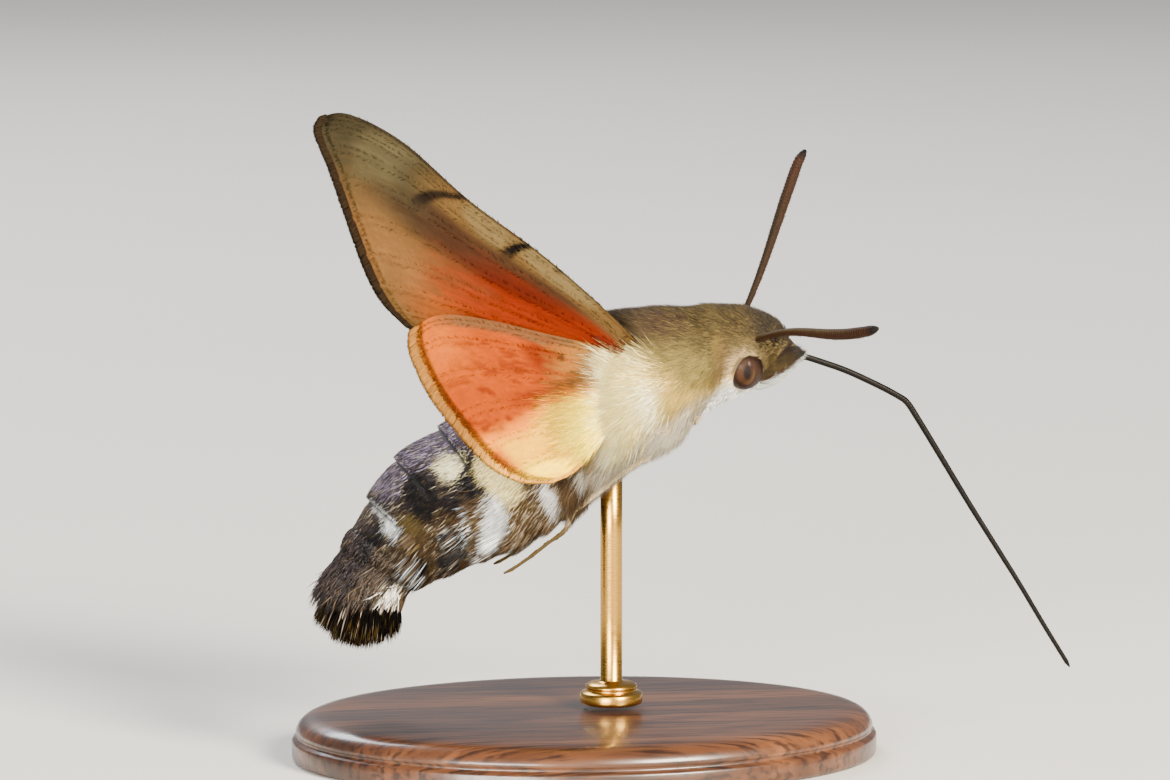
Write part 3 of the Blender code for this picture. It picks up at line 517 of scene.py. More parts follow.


# Palps. Two short upturned feelers of the mouth, thick with scales, that close the snout on both sides of the
# tongue: olive brown above, and white below, painted a pale cool grey for the shade it lies in.
PALP_LINE = np.array((           # x, distance from the middle, z, from the root to the tip
    (9.0, 0.98, 20.52), (9.9, 0.94, 20.98), (10.8, 0.78, 21.40), (11.42, 0.60, 21.62), (11.90, 0.46, 21.74)))
PALP_HALF = np.array(((0.62, 0.50), (0.82, 0.70), (0.80, 0.64), (0.56, 0.46), (0.20, 0.20)))
PALP_COAT, PALP_ROWS, PALP_SIDES = 0.12, 40, 48


def palp(side):
    """The surface of one palp: along it from 0 to 4, round it in degrees, off the skin."""
    def surface(along, angle, out):
        along, angle, out = np.broadcast_arrays(np.asarray(along, float), angle, out)
        x, y, z = np.moveaxis(spline(PALP_LINE, along), -1, 0)
        tall, wide = np.moveaxis(spline(PALP_HALF, along), -1, 0)
        turned = np.radians(angle)
        points = np.stack([x, side * (y + (wide - PALP_COAT + out) * np.sin(turned)),
                           z - (tall - PALP_COAT + out) * np.cos(turned)], -1)
        return head_turn(points, 0.0)
    return surface


def palp_tone(along, angle):
    """White below, painted a pale cool grey as white in shade, a line of rust, and olive brown above."""
    along, angle = np.broadcast_arrays(np.asarray(along, float), np.abs(angle))
    return painted(
        # the white underside, painted grey as white in shade
        plain(along, "#d4e0dc"),
        ("#3c120e", smooth((angle - 62 + 6 * cloud(along * 3, angle / 14)) / 8)),
        ("#2e240f", smooth((angle - 76) / 10)),
        ("#6c5c34", 0.5 * smooth(cloud(along * 5, angle / 12)) * smooth((angle - 80) / 8)),
        ("#120a08", smooth((along - 2.7) / 0.5) * smooth((angle - 56) / 8)),
        ("#1c0c0a", smooth((angle - 138) / 12)))


palp_along = np.linspace(0.0, 4.0, PALP_ROWS)[:, None]
palp_angle = np.linspace(-180, 180, PALP_SIDES, endpoint=False)[None, :]
for side, word in SIDES:
    points = closed(palp(side)(palp_along, palp_angle, 0.0))
    tones = palp_tone(np.concatenate([palp_along[:1], palp_along, palp_along[-1:]]), palp_angle)
    faces = grid(len(points), PALP_SIDES, True)
    piece(f"palp_{word}_skin", points, faces[:, ::-1] if side < 0 else faces, chitin,
          [f"palp_{word}"], {"coat": tones.reshape(-1, 3) * SKIN_SHADE})


# Tongue. Two half tubes of hard black chitin locked side by side into one long sucking tube,
# finely ringed so that it can coil. It leaves the snout between the palps and bends at its knee.
TONGUE_LINE = np.array((
    (10.3, 0.32, 21.45), (11.2, 0.40, 21.64), (12.1, 0.48, 21.54), (13.5, 0.60, 21.08),
    (14.75, 0.70, 20.60), (16.42, 0.82, 19.80), (17.54, 0.90, 19.19), (18.07, 0.92, 18.79),
    (18.70, 0.93, 17.84), (19.83, 0.92, 16.00), (21.53, 0.86, 13.20), (23.23, 0.76, 10.50),
    (24.36, 0.68, 8.70), (25.78, 0.56, 6.32), (27.20, 0.40, 4.00)))
TONGUE_KNEE = 7                  # the point of the line from which it tapers
TONGUE_RADIUS, TONGUE_TIP_RADIUS = 0.20, 0.14
TONGUE_RING = 0.16               # spacing of the rings
TONGUE_END_ROWS = 6              # the rows of points that round off its tip
TONGUE_ROWS, TUBE_SIDES = 620, 20


def tube(path, radii, sides, shape=None):
    """Points and triangles of a tube along a path, closed at both ends. Its shape may change
    the radius by the angle round it, in radians from the top."""
    path = np.asarray(path, float)
    forward = unit(np.gradient(path, axis=0))
    across = [unit(np.cross(forward[0], (0.0, 0.0, 1.0)))]
    for step in forward[1:]:
        across.append(unit(across[-1] - step * (across[-1] @ step)))
    across = np.array(across)
    upward = np.cross(across, forward)
    turned = np.linspace(0, 2 * np.pi, sides, endpoint=False)
    around = np.ones((1, sides)) if shape is None else shape(turned)[None, :]
    reach = np.asarray(radii, float)[:, None] * around
    rows = (path[:, None] + (reach * np.cos(turned))[..., None] * upward[:, None]
            + (reach * np.sin(turned))[..., None] * across[:, None])
    ends = [path[end] + (rows[end] - path[end]) * 0.03 for end in (0, -1)]
    points = np.concatenate([ends[0][None], rows, ends[1][None]])
    return points, grid(len(points), sides, True)[:, ::-1]


def line_length(path):
    """The length along a path at each of its points."""
    return np.concatenate([[0.0], np.cumsum(np.linalg.norm(np.diff(path, axis=0), axis=1))])


# Hard chitin: almost black brown, smooth and glossy, a little browner in uneven patches.
hard_chitin = blank("hard_black_chitin")
worn = add(hard_chitin, "TexNoise", {"Scale": per_mm(0.35), "Detail": 3.0})
add(hard_chitin, "OutputMaterial", {"Surface": add(hard_chitin, "BsdfPrincipled", {
    "Base Color": add(hard_chitin, "ValToRGB", {"Fac": worn}, stops=((0.35, "#030302"), (0.68, "#0f0b07"))),
    "Roughness": add(hard_chitin, "MapRange", {"Value": worn, "To Min": 0.28, "To Max": 0.46}),
    "IOR": 1.5, "Specular IOR Level": 0.12,
    "Normal": add(hard_chitin, "Bump", {"Height": worn, "Strength": 0.2, "Distance": 0.00003})})})

path = spline(TONGUE_LINE, np.linspace(0, len(TONGUE_LINE) - 1, TONGUE_ROWS))
run = line_length(path)
knee = run[TONGUE_ROWS * TONGUE_KNEE // (len(TONGUE_LINE) - 1)]
taper = TONGUE_RADIUS + (TONGUE_TIP_RADIUS - TONGUE_RADIUS) * np.clip((run - knee) / (run[-1] - knee), 0, 1)
ringed = taper * (1 - 0.07 * np.abs(np.cos(np.pi * run / TONGUE_RING)) ** 6)
ringed[-TONGUE_END_ROWS:] *= np.linspace(1.0, 0.35, TONGUE_END_ROWS)
points, faces = tube(path, ringed, TUBE_SIDES, lambda turned: 1 - 0.16 * np.abs(np.cos(turned)) ** 14)
piece("tongue", points, faces, hard_chitin, ["proboscis_upper", "proboscis_lower"])


# Feelers. Long clubs of some sixty short joints with a fine hooked tip, brown and scaled on
# their upper side, bare and darker below, rooted on the forehead above the eyes.
FEELER_ROOT, FEELER_LENGTH, FEELER_JOINTS = np.array((8.55, 1.05, 22.60)), 11.2, 58
FEELERS = (   # side, name, direction, bow, wave, hook at the tip
    (-1, "right", (0.450, -0.880, 0.160), (0.0, 0.0, 0.22), (0.0, 0.0, 0.22), (0.06, -0.02, 0.05)),
    (1, "left", (0.395, 0.290, 0.870), (0.12, 0.0, -0.05), (0.06, 0.0, 0.0), (0.16, 0.05, -0.05)),
)
FEELER_RADII = ((0.0, 0.14), (0.2, 0.18), (0.45, 0.24), (0.70, 0.30), (0.86, 0.31), (0.95, 0.28),
                (0.98, 0.21), (1.0, 0.10))       # share of the way, radius
FEELER_JOINT_ROWS = 7

# Scaled chitin: brown, satin, paler where the scales lie and dark in the grooves.
feeler_chitin = blank("scaled_feeler_chitin")
scales = add(feeler_chitin, "TexVoronoi", {"Scale": per_mm(0.09)})
add(feeler_chitin, "OutputMaterial", {"Surface": add(feeler_chitin, "BsdfPrincipled", {
    "Base Color": add(feeler_chitin, "MixRGB", {
        "Fac": 0.5, "Color1": add(feeler_chitin, "Attribute", attribute_name="coat"),
        "Color2": add(feeler_chitin, "ValToRGB", {"Fac": scales},
                      stops=((0.0, "#ffffff"), (0.7, "#5c4634")))}, blend_type="MULTIPLY"),
    "Roughness": 0.5, "Specular IOR Level": 0.12,
    "Normal": add(feeler_chitin, "Bump", {"Height": scales, "Strength": 0.4, "Distance": 0.00002})})})

share = np.linspace(0, 1, FEELER_JOINTS * FEELER_JOINT_ROWS + 1)
joint = (share * FEELER_JOINTS) % 1.0
turned = np.linspace(0, 2 * np.pi, TUBE_SIDES, endpoint=False)[None, :]
feeler_paths = {}
for side, word, direction, bow, wave, hook in FEELERS:
    root = head_turn(FEELER_ROOT * (1, side, 1), 0.0)
    path = (root + np.outer(share, unit(np.array(direction)) * FEELER_LENGTH)
            + np.outer(np.sin(np.pi * share), bow) + np.outer(np.sin(2 * np.pi * share), wave)
            + np.outer(np.maximum(share - 0.9, 0) * 10 * smooth((share - 0.9) * 10), hook))
    radii = np.interp(share, *zip(*FEELER_RADII)) * (
        0.90 + 0.10 * smooth(joint / 0.75) - 0.10 * smooth((joint - 0.84) / 0.12))
    points, faces = tube(path, radii, TUBE_SIDES)
    feeler_paths[side] = path, radii
    upper = smooth((np.cos(turned) + 0.1) / 0.7) * smooth((1.02 - share[:, None]) / 0.5)
    # The feelers' upper sides are painted in different browns, lighter on the right and darker on the left
    # with a lighter root, as painted light and shade for how each feeler is lit.
    tone = painted(
        plain(upper, "#321a08"),
        ("#463a1a" if side < 0 else "#221a0a", upper * 0.75),
        ("#120a05", smooth((share[:, None] - 0.93) / 0.05) + 0 * turned),
        ("#54421e", smooth((0.10 - share[:, None]) / 0.08) * 0.6 * (side > 0) + 0 * turned),
        ("#0a0504", smooth((joint[:, None] - 0.82) / 0.12) * 0.8 + 0 * turned))
    tone = np.concatenate([tone[:1], tone, tone[-1:]])
    piece(f"feeler_{word}", points, faces, feeler_chitin, [f"antenna_{word}"],
          {"coat": tone.reshape(-1, 3)})


# Legs. Six slender legs folded back along the belly, dressed in pale flat scales, so that they
# read as stripes there. Each hind foot leaves the belly and ends free.
LEG_RADIUS, LEG_CLEARANCE = 0.23, 0.36
LEG_ROUTES = {   # (body section, angle up from the belly line)
    "fore": ((4.05, 34), (4.35, 37), (4.75, 36), (5.15, 34)),
    "mid": ((5.20, 50), (5.75, 52), (6.40, 49), (7.00, 46), (7.50, 44)),
    "hind": ((5.60, 26), (6.20, 28), (6.90, 27), (7.60, 26), (8.20, 26)),
}
HIND_FOOT = ((-1.38, 1.60, 12.62), (-2.35, 1.62, 11.90), (-3.30, 1.65, 11.20), (-4.20, 1.70, 10.62),
             (-4.75, 1.72, 10.36))
LEG_SHAPE = {    # share of the way and share of the leg's radius, with its joints
    "fore": ((0, 0.9), (0.3, 1.0), (0.5, 0.8), (0.55, 0.95), (0.9, 0.72), (1.0, 0.5)),
    "mid": ((0, 0.9), (0.3, 1.0), (0.46, 0.78), (0.52, 0.95), (0.85, 0.72), (1.0, 0.48)),
    "hind": ((0, 0.9), (0.22, 1.0), (0.34, 0.78), (0.4, 0.98), (0.58, 0.9), (0.62, 0.56), (0.72, 0.50),
             (0.73, 0.42), (0.85, 0.46), (0.86, 0.38), (0.97, 0.40), (1.0, 0.25)),
}
LEG_OUT = {"fore": -0.9, "mid": -0.3, "hind": 0.3}       # how far each pair stands out of the belly
LEG_FOLD_ROWS, LEG_ROWS, LEG_SIDES = 30, 120, 14
leg_paths = {}
for pair, route in LEG_ROUTES.items():
    for side, word in SIDES:
        run = spline(route, np.linspace(0, len(route) - 1, LEG_FOLD_ROWS))
        start = body(run[0, 0] - 0.12, side * run[0, 1], -1.3)
        out = (LEG_CLEARANCE + LEG_RADIUS) * smooth(0.3 + np.linspace(0, 3, LEG_FOLD_ROWS)) * LEG_OUT[pair]
        folded = body(run[:, 0], side * run[:, 1], out)
        knots = np.vstack([start, folded[::5], folded[-1]])
        if pair == "hind":
            knots = np.vstack([knots, np.array(HIND_FOOT) * (1, side, 1)])
        path = spline(knots, np.linspace(0, len(knots) - 1, LEG_ROWS))
        share = line_length(path) / line_length(path)[-1]
        radii = np.interp(share, *zip(*LEG_SHAPE[pair])) * LEG_RADIUS
        points, faces = tube(path, radii, LEG_SIDES)
        stripe = smooth((np.sin(np.linspace(0, 40, LEG_ROWS)) - 0.3) / 0.5)
        tone = painted(
            plain(share, "#c0b08c"),
            ("#7e6648", stripe * 0.5),
            ("#4a3a1a", smooth((share - 0.56) / 0.14) * (pair == "hind")))
        tone = np.repeat(np.concatenate([tone[:1], tone, tone[-1:]]), LEG_SIDES, axis=0)
        piece(f"leg_{pair}_{word}_skin", points, faces, feeler_chitin, [f"leg_{pair}_{word}"],
              {"coat": tone})
        leg_paths[pair, side] = path, radii


# Wings. Thin membranes stiffened by veins and covered by scales on both faces. The right wings
# show their lower faces to the camera: the forewing burnt orange with a pale front edge and dark
# cross marks, the hindwing orange with a yellow hind part. The upper faces are grey brown with
# two dark lines, and orange with a dark border.
WINGS = {        # outlines are distances from the root along the span and along the chord
    "forewing": {
        "root": (2.41, -3.30, 22.78), "span": (-0.804, 0.089, 0.588), "chord": (-0.590, 0.0, -0.807),
        "leading": ((-1.5, 0.25), (0.0, 0.0), (3.5, -0.55), (7.5, -0.88), (12.0, -0.95), (16.7, -1.42),
                    (19.9, -0.95), (21.17, 0.16)),
        "outer": ((21.17, 0.16), (20.9, 1.00), (19.2, 2.10), (16.8, 3.80), (14.4, 5.40), (12.6, 6.25),
                  (10.8, 6.55)),
        "trailing": ((-1.5, 1.9), (0.3, 2.2), (4.0, 3.75), (7.6, 5.45), (10.8, 6.55)),
        "veins": (0.045, 0.13, 0.25, 0.37, 0.49, 0.61, 0.73, 0.86), "camber": 0.20, "fringe": 0.55,
        "left_inset": 0.7, "dive": (2.3, 2.2)},
    "hindwing": {
        "root": (1.90, -4.25, 21.90), "span": (-0.9875, 0.055, 0.153), "chord": (-0.155, -0.120, -0.980),
        "leading": ((-1.3, 0.6), (0.1, 0.1), (2.3, -0.62), (5.0, -0.92), (8.4, -1.23), (10.8, -1.08),
                    (12.3, 0.1)),
        "outer": ((12.3, 0.1), (12.05, 1.3), (10.8, 3.25), (9.0, 5.05), (7.2, 6.50), (5.4, 7.15),
                  (3.6, 7.0)),
        "trailing": ((-1.3, 3.4), (0.4, 3.85), (1.4, 5.1), (2.4, 6.3), (3.6, 7.0)),
        "veins": (0.05, 0.17, 0.31, 0.46, 0.61, 0.77), "camber": 0.30, "fringe": 0.60,
        "left_inset": 1.2, "dive": (1.3, 4.6)},
}
MEMBRANE_HALF, VEIN_HEIGHT = 0.10, 0.05
WING_INNER = 1.3                 # how far a wing reaches inwards from its root
TUCK, TUCK_LONG = 0.6, 2.4       # how the far wings' inner hind corner is held under the hair


def wing_sheet(wing, side):
    """The middle sheet of a wing: u runs from its root to its outer edge and v from its front
    edge to its hind edge, and out goes off its lower face, away from the body."""
    root, span, chord = (np.array(wing[key]) for key in ("root", "span", "chord"))
    leading, outer, trailing = (np.array(wing[key], float) for key in ("leading", "outer", "trailing"))
    inner = np.array((leading[0], trailing[0]))
    inset = wing["left_inset"] if side > 0 else 0.0

    def edge(points, share):
        return spline(points, share * (len(points) - 1))

    def middle(u, v):
        a, b = u[..., None], v[..., None]
        flat = (edge(leading, u) * (1 - b) + edge(trailing, u) * b + edge(inner, v) * (1 - a)
                + edge(outer, v) * a - (inner[0] * (1 - b) + inner[1] * b) * (1 - a)
                - (outer[0] * (1 - b) + outer[-1] * b) * a)
        s, t = flat[..., 0], flat[..., 1]
        deep, long = wing["dive"]        # how the root sinks into the thorax
        dive = deep * (1 - smooth((s + WING_INNER) / long))
        dive += TUCK * inset * smooth(v) * (1 - smooth((s + WING_INNER) / TUCK_LONG))
        swell = wing["camber"] * np.sin(np.pi * np.clip(s / outer[0][0], 0, 1)) * np.sin(np.pi * v)
        place = root + span * (s - inset)[..., None] + chord * t[..., None]
        place[..., 1] += dive - swell
        return place * (1, -side, 1)

    def surface(u, v, out):
        u, v, out = np.broadcast_arrays(np.asarray(u, float), np.asarray(v, float), np.asarray(out, float))
        step = 0.004
        place = middle(u, v)
        normal = unit(np.cross(middle(u + step, v) - middle(u - step, v),
                               middle(u, v + step) - middle(u, v - step)))
        normal *= np.where(normal[..., 1:2] * side < 0, -1.0, 1.0)
        return place + normal * out[..., None]

    return surface


def rims(wing, surface, u, v):
    """How far the membrane reaches at each v and at each u, inside the fringe."""
    long = np.linalg.norm(surface(1.0 + 0 * v, v, 0.0) - surface(0.8 + 0 * v, v, 0.0), axis=-1) / 0.2
    wide = np.linalg.norm(surface(u, 1.0 + 0 * u, 0.0) - surface(u, 0.8 + 0 * u, 0.0), axis=-1) / 0.2
    return 1 - wing["fringe"] / long, 1 - 0.6 * wing["fringe"] / wide


def vein_ridge(wing, u, v):
    """The height of the veins, 1 on a crest. They fan out past the cell in the wing's middle."""
    height = 0 * u
    for index, vein in enumerate(wing["veins"]):
        start = 0.0 if index % 2 == 0 else 0.34
        width = 0.010 + 0.008 * (1 - u)
        height = np.maximum(height, np.exp(-((v - vein) / width) ** 2) * smooth((u - start) / 0.12))
    return height


CROSS_MARKS = ((0.452, 0.26, 0.36, 1.0), (0.588, 0.52, 0.42, 0.9), (0.375, 0.10, 0.16, 0.6))
UPPER_LINES = ((0.46, -0.10), (0.68, 0.06))


def forewing_tones(u, v):
    """Lower and upper colours of a forewing."""
    streak = cloud(u * 16, v * 46) + 0.6 * cloud(u * 34 + 7, v * 90)
    patch = cloud(u * 7 + 3, v * 5)
    red_from = 0.325 + 0.05 * smooth((u - 0.55) / 0.2) + 0.03 * patch
    red_to = 0.78 + 0.10 * (v - 0.45) + 0.05 * patch
    red = smooth((v - red_from + 0.02 * streak) / 0.14) * smooth((red_to - u + 0.03 * streak) / 0.30)
    tip = smooth((u - 0.57 - 0.16 * v) / 0.12) * smooth((0.56 - v + 0.05 * streak) / 0.34)

    def cross_mark(at, bend, deep, dark):
        line = np.abs(u - at - bend * np.maximum(v, 0) ** 1.4 + 0.006 * patch) / (0.006 + 0.014 * v)
        return dark * smooth(1.8 - line) * smooth((deep - v) / 0.14)

    def upper_line(at, slope):
        line = np.abs(u - at - slope * v + 0.016 * np.sin(v * 17)) / 0.012
        return 0.95 * smooth(1.7 - line)

    low = painted(
        plain(u, "#4e3a1d"),
        ("#3a2610", 0.6 * smooth((0.30 - u) / 0.2) * smooth(0.5 + streak)),
        ("#584b2e", 0.8 * spot(u, v, (0.37, 0.10), 0.10, 0.16) + 0.7 * spot(u, v, (0.53, 0.12), 0.05, 0.16)),
        ("#5e3416", smooth((v - 0.46 + 0.04 * streak) / 0.20) * smooth((0.97 - u) / 0.2) * 0.8),
        ("#7c3a0a", smooth((v - 0.62 + 0.04 * streak) / 0.20) * smooth((0.95 - u) / 0.25) * 0.8),
        ("#2a180c", 0.9 * smooth((v - 0.24) / 0.10) * smooth((0.52 - v) / 0.1) * smooth((u - 0.18) / 0.2)
         * smooth((0.84 - u) / 0.16)),
        ("#5c1600", red),
        ("#300a02", red * 0.8 * spot(u, v, (0.56, 0.43), 0.22, 0.09, 1.0)),
        ("#6c2000", red * 0.8 * smooth((v - 0.53) / 0.2)),
        ("#2a1a0e", 0.8 * spot(u, v, (0.70, 0.40), 0.15, 0.10, 1.0)),
        ("#604222", 0.7 * spot(u, v, (0.88, 0.58), 0.12, 0.16, 1.0)),
        # the grey tip, the dark cross marks and the border
        ("#2c2718", tip),
        ("#403a26", tip * 0.8 * smooth(1.5 - np.abs(u - 0.71 - 0.34 * v) / 0.06) * smooth((0.42 - v) / 0.12)),
        ("#1e1a0e", 0.8 * smooth((u - 0.74) / 0.2) * smooth((0.24 - v) / 0.2)),
        *(("#070403", cross_mark(*mark)) for mark in CROSS_MARKS),
        ("#170e08", 0.7 * smooth((0.05 - v) / 0.03) * smooth((u - 0.2) / 0.1) * smooth(0.6 + patch)),
        ("#4a3016", 0.7 * smooth((u - 0.93) / 0.03) * smooth((v - 0.3) / 0.2)),
        ("#20130a", 0.8 * smooth((u - 0.965) / 0.02)))
    up = painted(
        plain(u, "#5a4a36"),
        ("#7a6850", 0.6 * smooth(0.5 + patch + 0.3 * streak)),
        ("#443424", 0.7 * spot(u, v, (0.57, 0.45), 0.10, 0.5, 1.0)),
        *(("#17100b", upper_line(*line)) for line in UPPER_LINES),
        ("#17100b", 0.9 * spot(u, v, (0.57, 0.30), 0.016, 0.05)),
        ("#2a2018", smooth((u - 0.90 + 0.02 * patch) / 0.08)))
    return low * (1 + 0.12 * streak)[..., None], up * (1 + 0.08 * streak)[..., None]


def hindwing_tones(u, v):
    """Lower and upper colours of a hindwing."""
    streak = cloud(u * 15, v * 40 + u * 8) + 0.6 * cloud(u * 36 + 5, v * 90 + u * 14)
    patch = cloud(u * 6, v * 6 + 2)
    gold = smooth((0.51 - u + 0.04 * streak + 0.03 * patch) / 0.14)
    yellow_from = 0.39 + 0.16 * smooth((u - 0.40) / 0.35) + 0.014 * streak
    yellow = smooth((v - yellow_from - 0.03) / 0.07)
    rim = smooth((u - 0.83 + 0.10 * smooth((v - 0.85) / 0.1) + 0.01 * streak) / 0.07)
    hind_bend = 0.03 * smooth((v - 0.8) / 0.2)
    margin = smooth((u - 0.93 + hind_bend) / 0.01)
    low = painted(
        plain(u, "#8a3600"),
        ("#581a00", 0.75 * smooth((streak - 0.1) / 0.7)),
        ("#561400", 0.8 * spot(u, v, (0.49, 0.19), 0.06, 0.12, 1.0)
         + 0.4 * spot(u, v, (0.55, 0.44), 0.12, 0.05, 1.0)),
        ("#b05808", 0.6 * smooth((u - 0.66) / 0.2) * smooth((0.4 - v) / 0.2)),
        # the golden root and the yellow hind part
        ("#805420", gold),
        ("#6a3a10", gold * 0.4 * smooth((streak - 0.3) / 0.4)),
        ("#d07406", smooth((v - yellow_from + 0.03) / 0.08)),
        ("#d89c00", yellow),
        ("#ffd400", yellow * spot(u, v, (0.80, 0.88), 0.16, 0.10, 1.0)),
        ("#ffe030", yellow * smooth((0.64 - u + 0.3 * (v - 0.62) + 0.04 * streak) / 0.24)),
        ("#c8a050", 0.6 * yellow * smooth((v - 0.95) / 0.04)),
        ("#a84e0c", yellow * rim * smooth((0.80 - v) / 0.1) + 0.7 * rim * smooth((v - 0.7) / 0.1) * 0.4),
        ("#fff8b8", smooth((0.36 - u + 0.05 * streak + 0.08 * patch) / 0.22)),
        # the brown front edge, the dark spot and the border
        ("#543c24", 0.85 * smooth((0.105 - v + 0.02 * streak) / 0.05) * smooth((u - 0.34) / 0.1)
         * smooth((0.95 - u) / 0.2)),
        ("#36200e", 0.8 * spot(u, v, (0.435, 0.18), 0.012, 0.03)),
        ("#3c2a10", 0.75 * smooth(1.5 - np.abs(u - 0.918 + hind_bend) / 0.009)),
        ("#8a6026", margin),
        ("#c89038", margin * smooth((v - 0.62) / 0.2)))
    up = painted(
        plain(u, "#a84c08"),
        ("#823200", 0.5 * smooth(streak)),
        ("#2a190d", smooth((u - 0.84 + 0.02 * patch) / 0.05)),
        ("#3c2616", smooth((0.26 - u) / 0.1)))
    return low * (1 + 0.10 * streak)[..., None], up * (1 + 0.08 * streak)[..., None]


WING_TONES = {"forewing": forewing_tones, "hindwing": hindwing_tones}


# Scaled membrane: a matt velvet of tiny overlapping scales in rows across the veins. Real scales
# are 0.1 by 0.2 mm, drawn a little larger. Fine rays of lighter and darker scales follow the veins.
scaled_membrane = blank("scaled_wing_membrane")
wing_map = add(scaled_membrane, "UVMap", uv_map="rays")
ray_noise = add(scaled_membrane, "TexNoise", {
    "Vector": add(scaled_membrane, "Mapping", {"Vector": wing_map, "Scale": (0.8, 7.0, 1.0)}),
    "Scale": 1.0, "Detail": 5.0, "Roughness": 0.65, "Distortion": 0.6})
scale_cells = add(scaled_membrane, "TexVoronoi", {
    "Vector": add(scaled_membrane, "Mapping", {"Vector": wing_map, "Scale": (4.2, 7.0, 1.0)}),
    "Scale": 1.0, "Randomness": 1.0})
ray_tone = add(scaled_membrane, "ValToRGB", {"Fac": ray_noise}, stops=((0.34, "#7d6a5a"), (0.60, "#ffffff")))
cell_share = add(scaled_membrane, "SeparateXYZ", {"Vector": scale_cells.outputs["Color"]})
cell_tone = add(scaled_membrane, "ValToRGB", {"Fac": cell_share}, stops=((0.0, "#b4a69a"), (1.0, "#ffffff")))
raised = add(scaled_membrane, "Math", {0: ray_noise, 1: scale_cells}, operation="ADD")
rayed = add(scaled_membrane, "MixRGB", {
    "Fac": 0.2, "Color1": add(scaled_membrane, "Attribute", attribute_name="coat"), "Color2": ray_tone},
    blend_type="MULTIPLY")
add(scaled_membrane, "OutputMaterial", {"Surface": add(scaled_membrane, "BsdfPrincipled", {
    "Base Color": add(scaled_membrane, "MixRGB", {"Fac": 0.18, "Color1": rayed, "Color2": cell_tone},
                      blend_type="MULTIPLY"),
    "Roughness": 0.72, "Specular IOR Level": 0.04,
    "Normal": add(scaled_membrane, "Bump", {"Height": raised, "Strength": 0.35, "Distance": 0.00005})})})

WING_ROWS, WING_COLUMNS = 120, 84
RAY_MAP = (20, 7)                # how often the map of the rays repeats along and across a wing
UPPER_MAP_SHIFT = 31.0
for name, tones in WING_TONES.items():
    wing = WINGS[name]
    for side, word in SIDES:
        surface = wing_sheet(wing, side)
        u, v = np.meshgrid(np.linspace(0, 1, WING_ROWS), np.linspace(0, 1, WING_COLUMNS), indexing="ij")
        rim_u, rim_v = rims(wing, surface, u, v)
        u, v = u * rim_u, v * rim_v
        thin = MEMBRANE_HALF * (0.35 + 0.65 * smooth((1 - u / rim_u) / 0.05))
        half = thin + VEIN_HEIGHT * vein_ridge(wing, u, v)
        count = WING_ROWS * WING_COLUMNS
        lower = grid(WING_ROWS, WING_COLUMNS, False)
        order = np.arange(count).reshape(WING_ROWS, WING_COLUMNS)
        border = np.concatenate([order[0, :], order[1:, -1], order[-1, -2::-1], order[-2:0:-1, 0]])
        after = np.roll(border, -1)
        rim_faces = np.concatenate([np.stack([border, after, after + count], -1),
                                    np.stack([border, after + count, border + count], -1)])
        faces = np.concatenate([lower, lower[:, ::-1] + count, rim_faces])
        points = np.concatenate([surface(u, v, half), surface(u, v, -half)])
        made = piece(f"{name}_{word}_membrane", points, faces, scaled_membrane,
                     [f"{name}_{word}"], {"coat": np.concatenate(tones(u, v)).reshape(-1, 3)})
        rays = np.stack([u * RAY_MAP[0], v * RAY_MAP[1]], -1).reshape(-1, 2)
        rays = np.concatenate([rays, rays + UPPER_MAP_SHIFT])
        layer = made.data.uv_layers.new(name="rays")
        layer.data.foreach_set("uv", rays[faces.ravel()].astype(np.float32).ravel())


# Coat. Hair and hair-like scales, each a thin solid tuft rooted in the skin and lying back along
# the body. It is shortest on the face, long and soft on the thorax, and short, flat and glossy
# on the abdomen.
SCATTER_STEPS = (0.7548776662, 0.5698402910)       # places by these steps never line up in rows
SCATTER_TRIALS = 6000
SLOPE_STEP = 0.002               # the share of a stretch over which its slope is measured
# Forms of tuft: rings from its root on, each a place along it and a share of its width.
SHORT_TUFT = ((0.0, 1.0),)
HAIR_TUFT = ((0.0, 0.75), (0.5, 1.0))
LONG_TUFT = ((0.0, 0.8), (0.35, 1.0), (0.7, 0.8))


def scatter(surface, count, a_span, b_span, draw, wanted=None):
    """About so many places spread loosely over a stretch of a surface, fewer where wanted says."""
    def area(a, b):
        da, db = (a_span[1] - a_span[0]) * SLOPE_STEP, (b_span[1] - b_span[0]) * SLOPE_STEP
        size = np.linalg.norm(np.cross(surface(a + da, b, 0.0) - surface(a - da, b, 0.0),
                                       surface(a, b + db, 0.0) - surface(a, b - db, 0.0)), axis=-1)
        return size if wanted is None else size * wanted(a, b)

    def places(number):
        k, loose = np.arange(number), 0.6 / math.sqrt(number)
        a, b = ((0.5 + k * step + draw.normal(0, loose, number)) % 1.0 for step in SCATTER_STEPS)
        return a_span[0] + (a_span[1] - a_span[0]) * a, b_span[0] + (b_span[1] - b_span[0]) * b

    sizes = area(*places(SCATTER_TRIALS))
    most = np.quantile(sizes, 0.995)
    a, b = places(int(count * most / max(sizes.mean(), 1e-9)))
    kept = draw.random(len(a)) * most < area(a, b)
    return a[kept], b[kept]


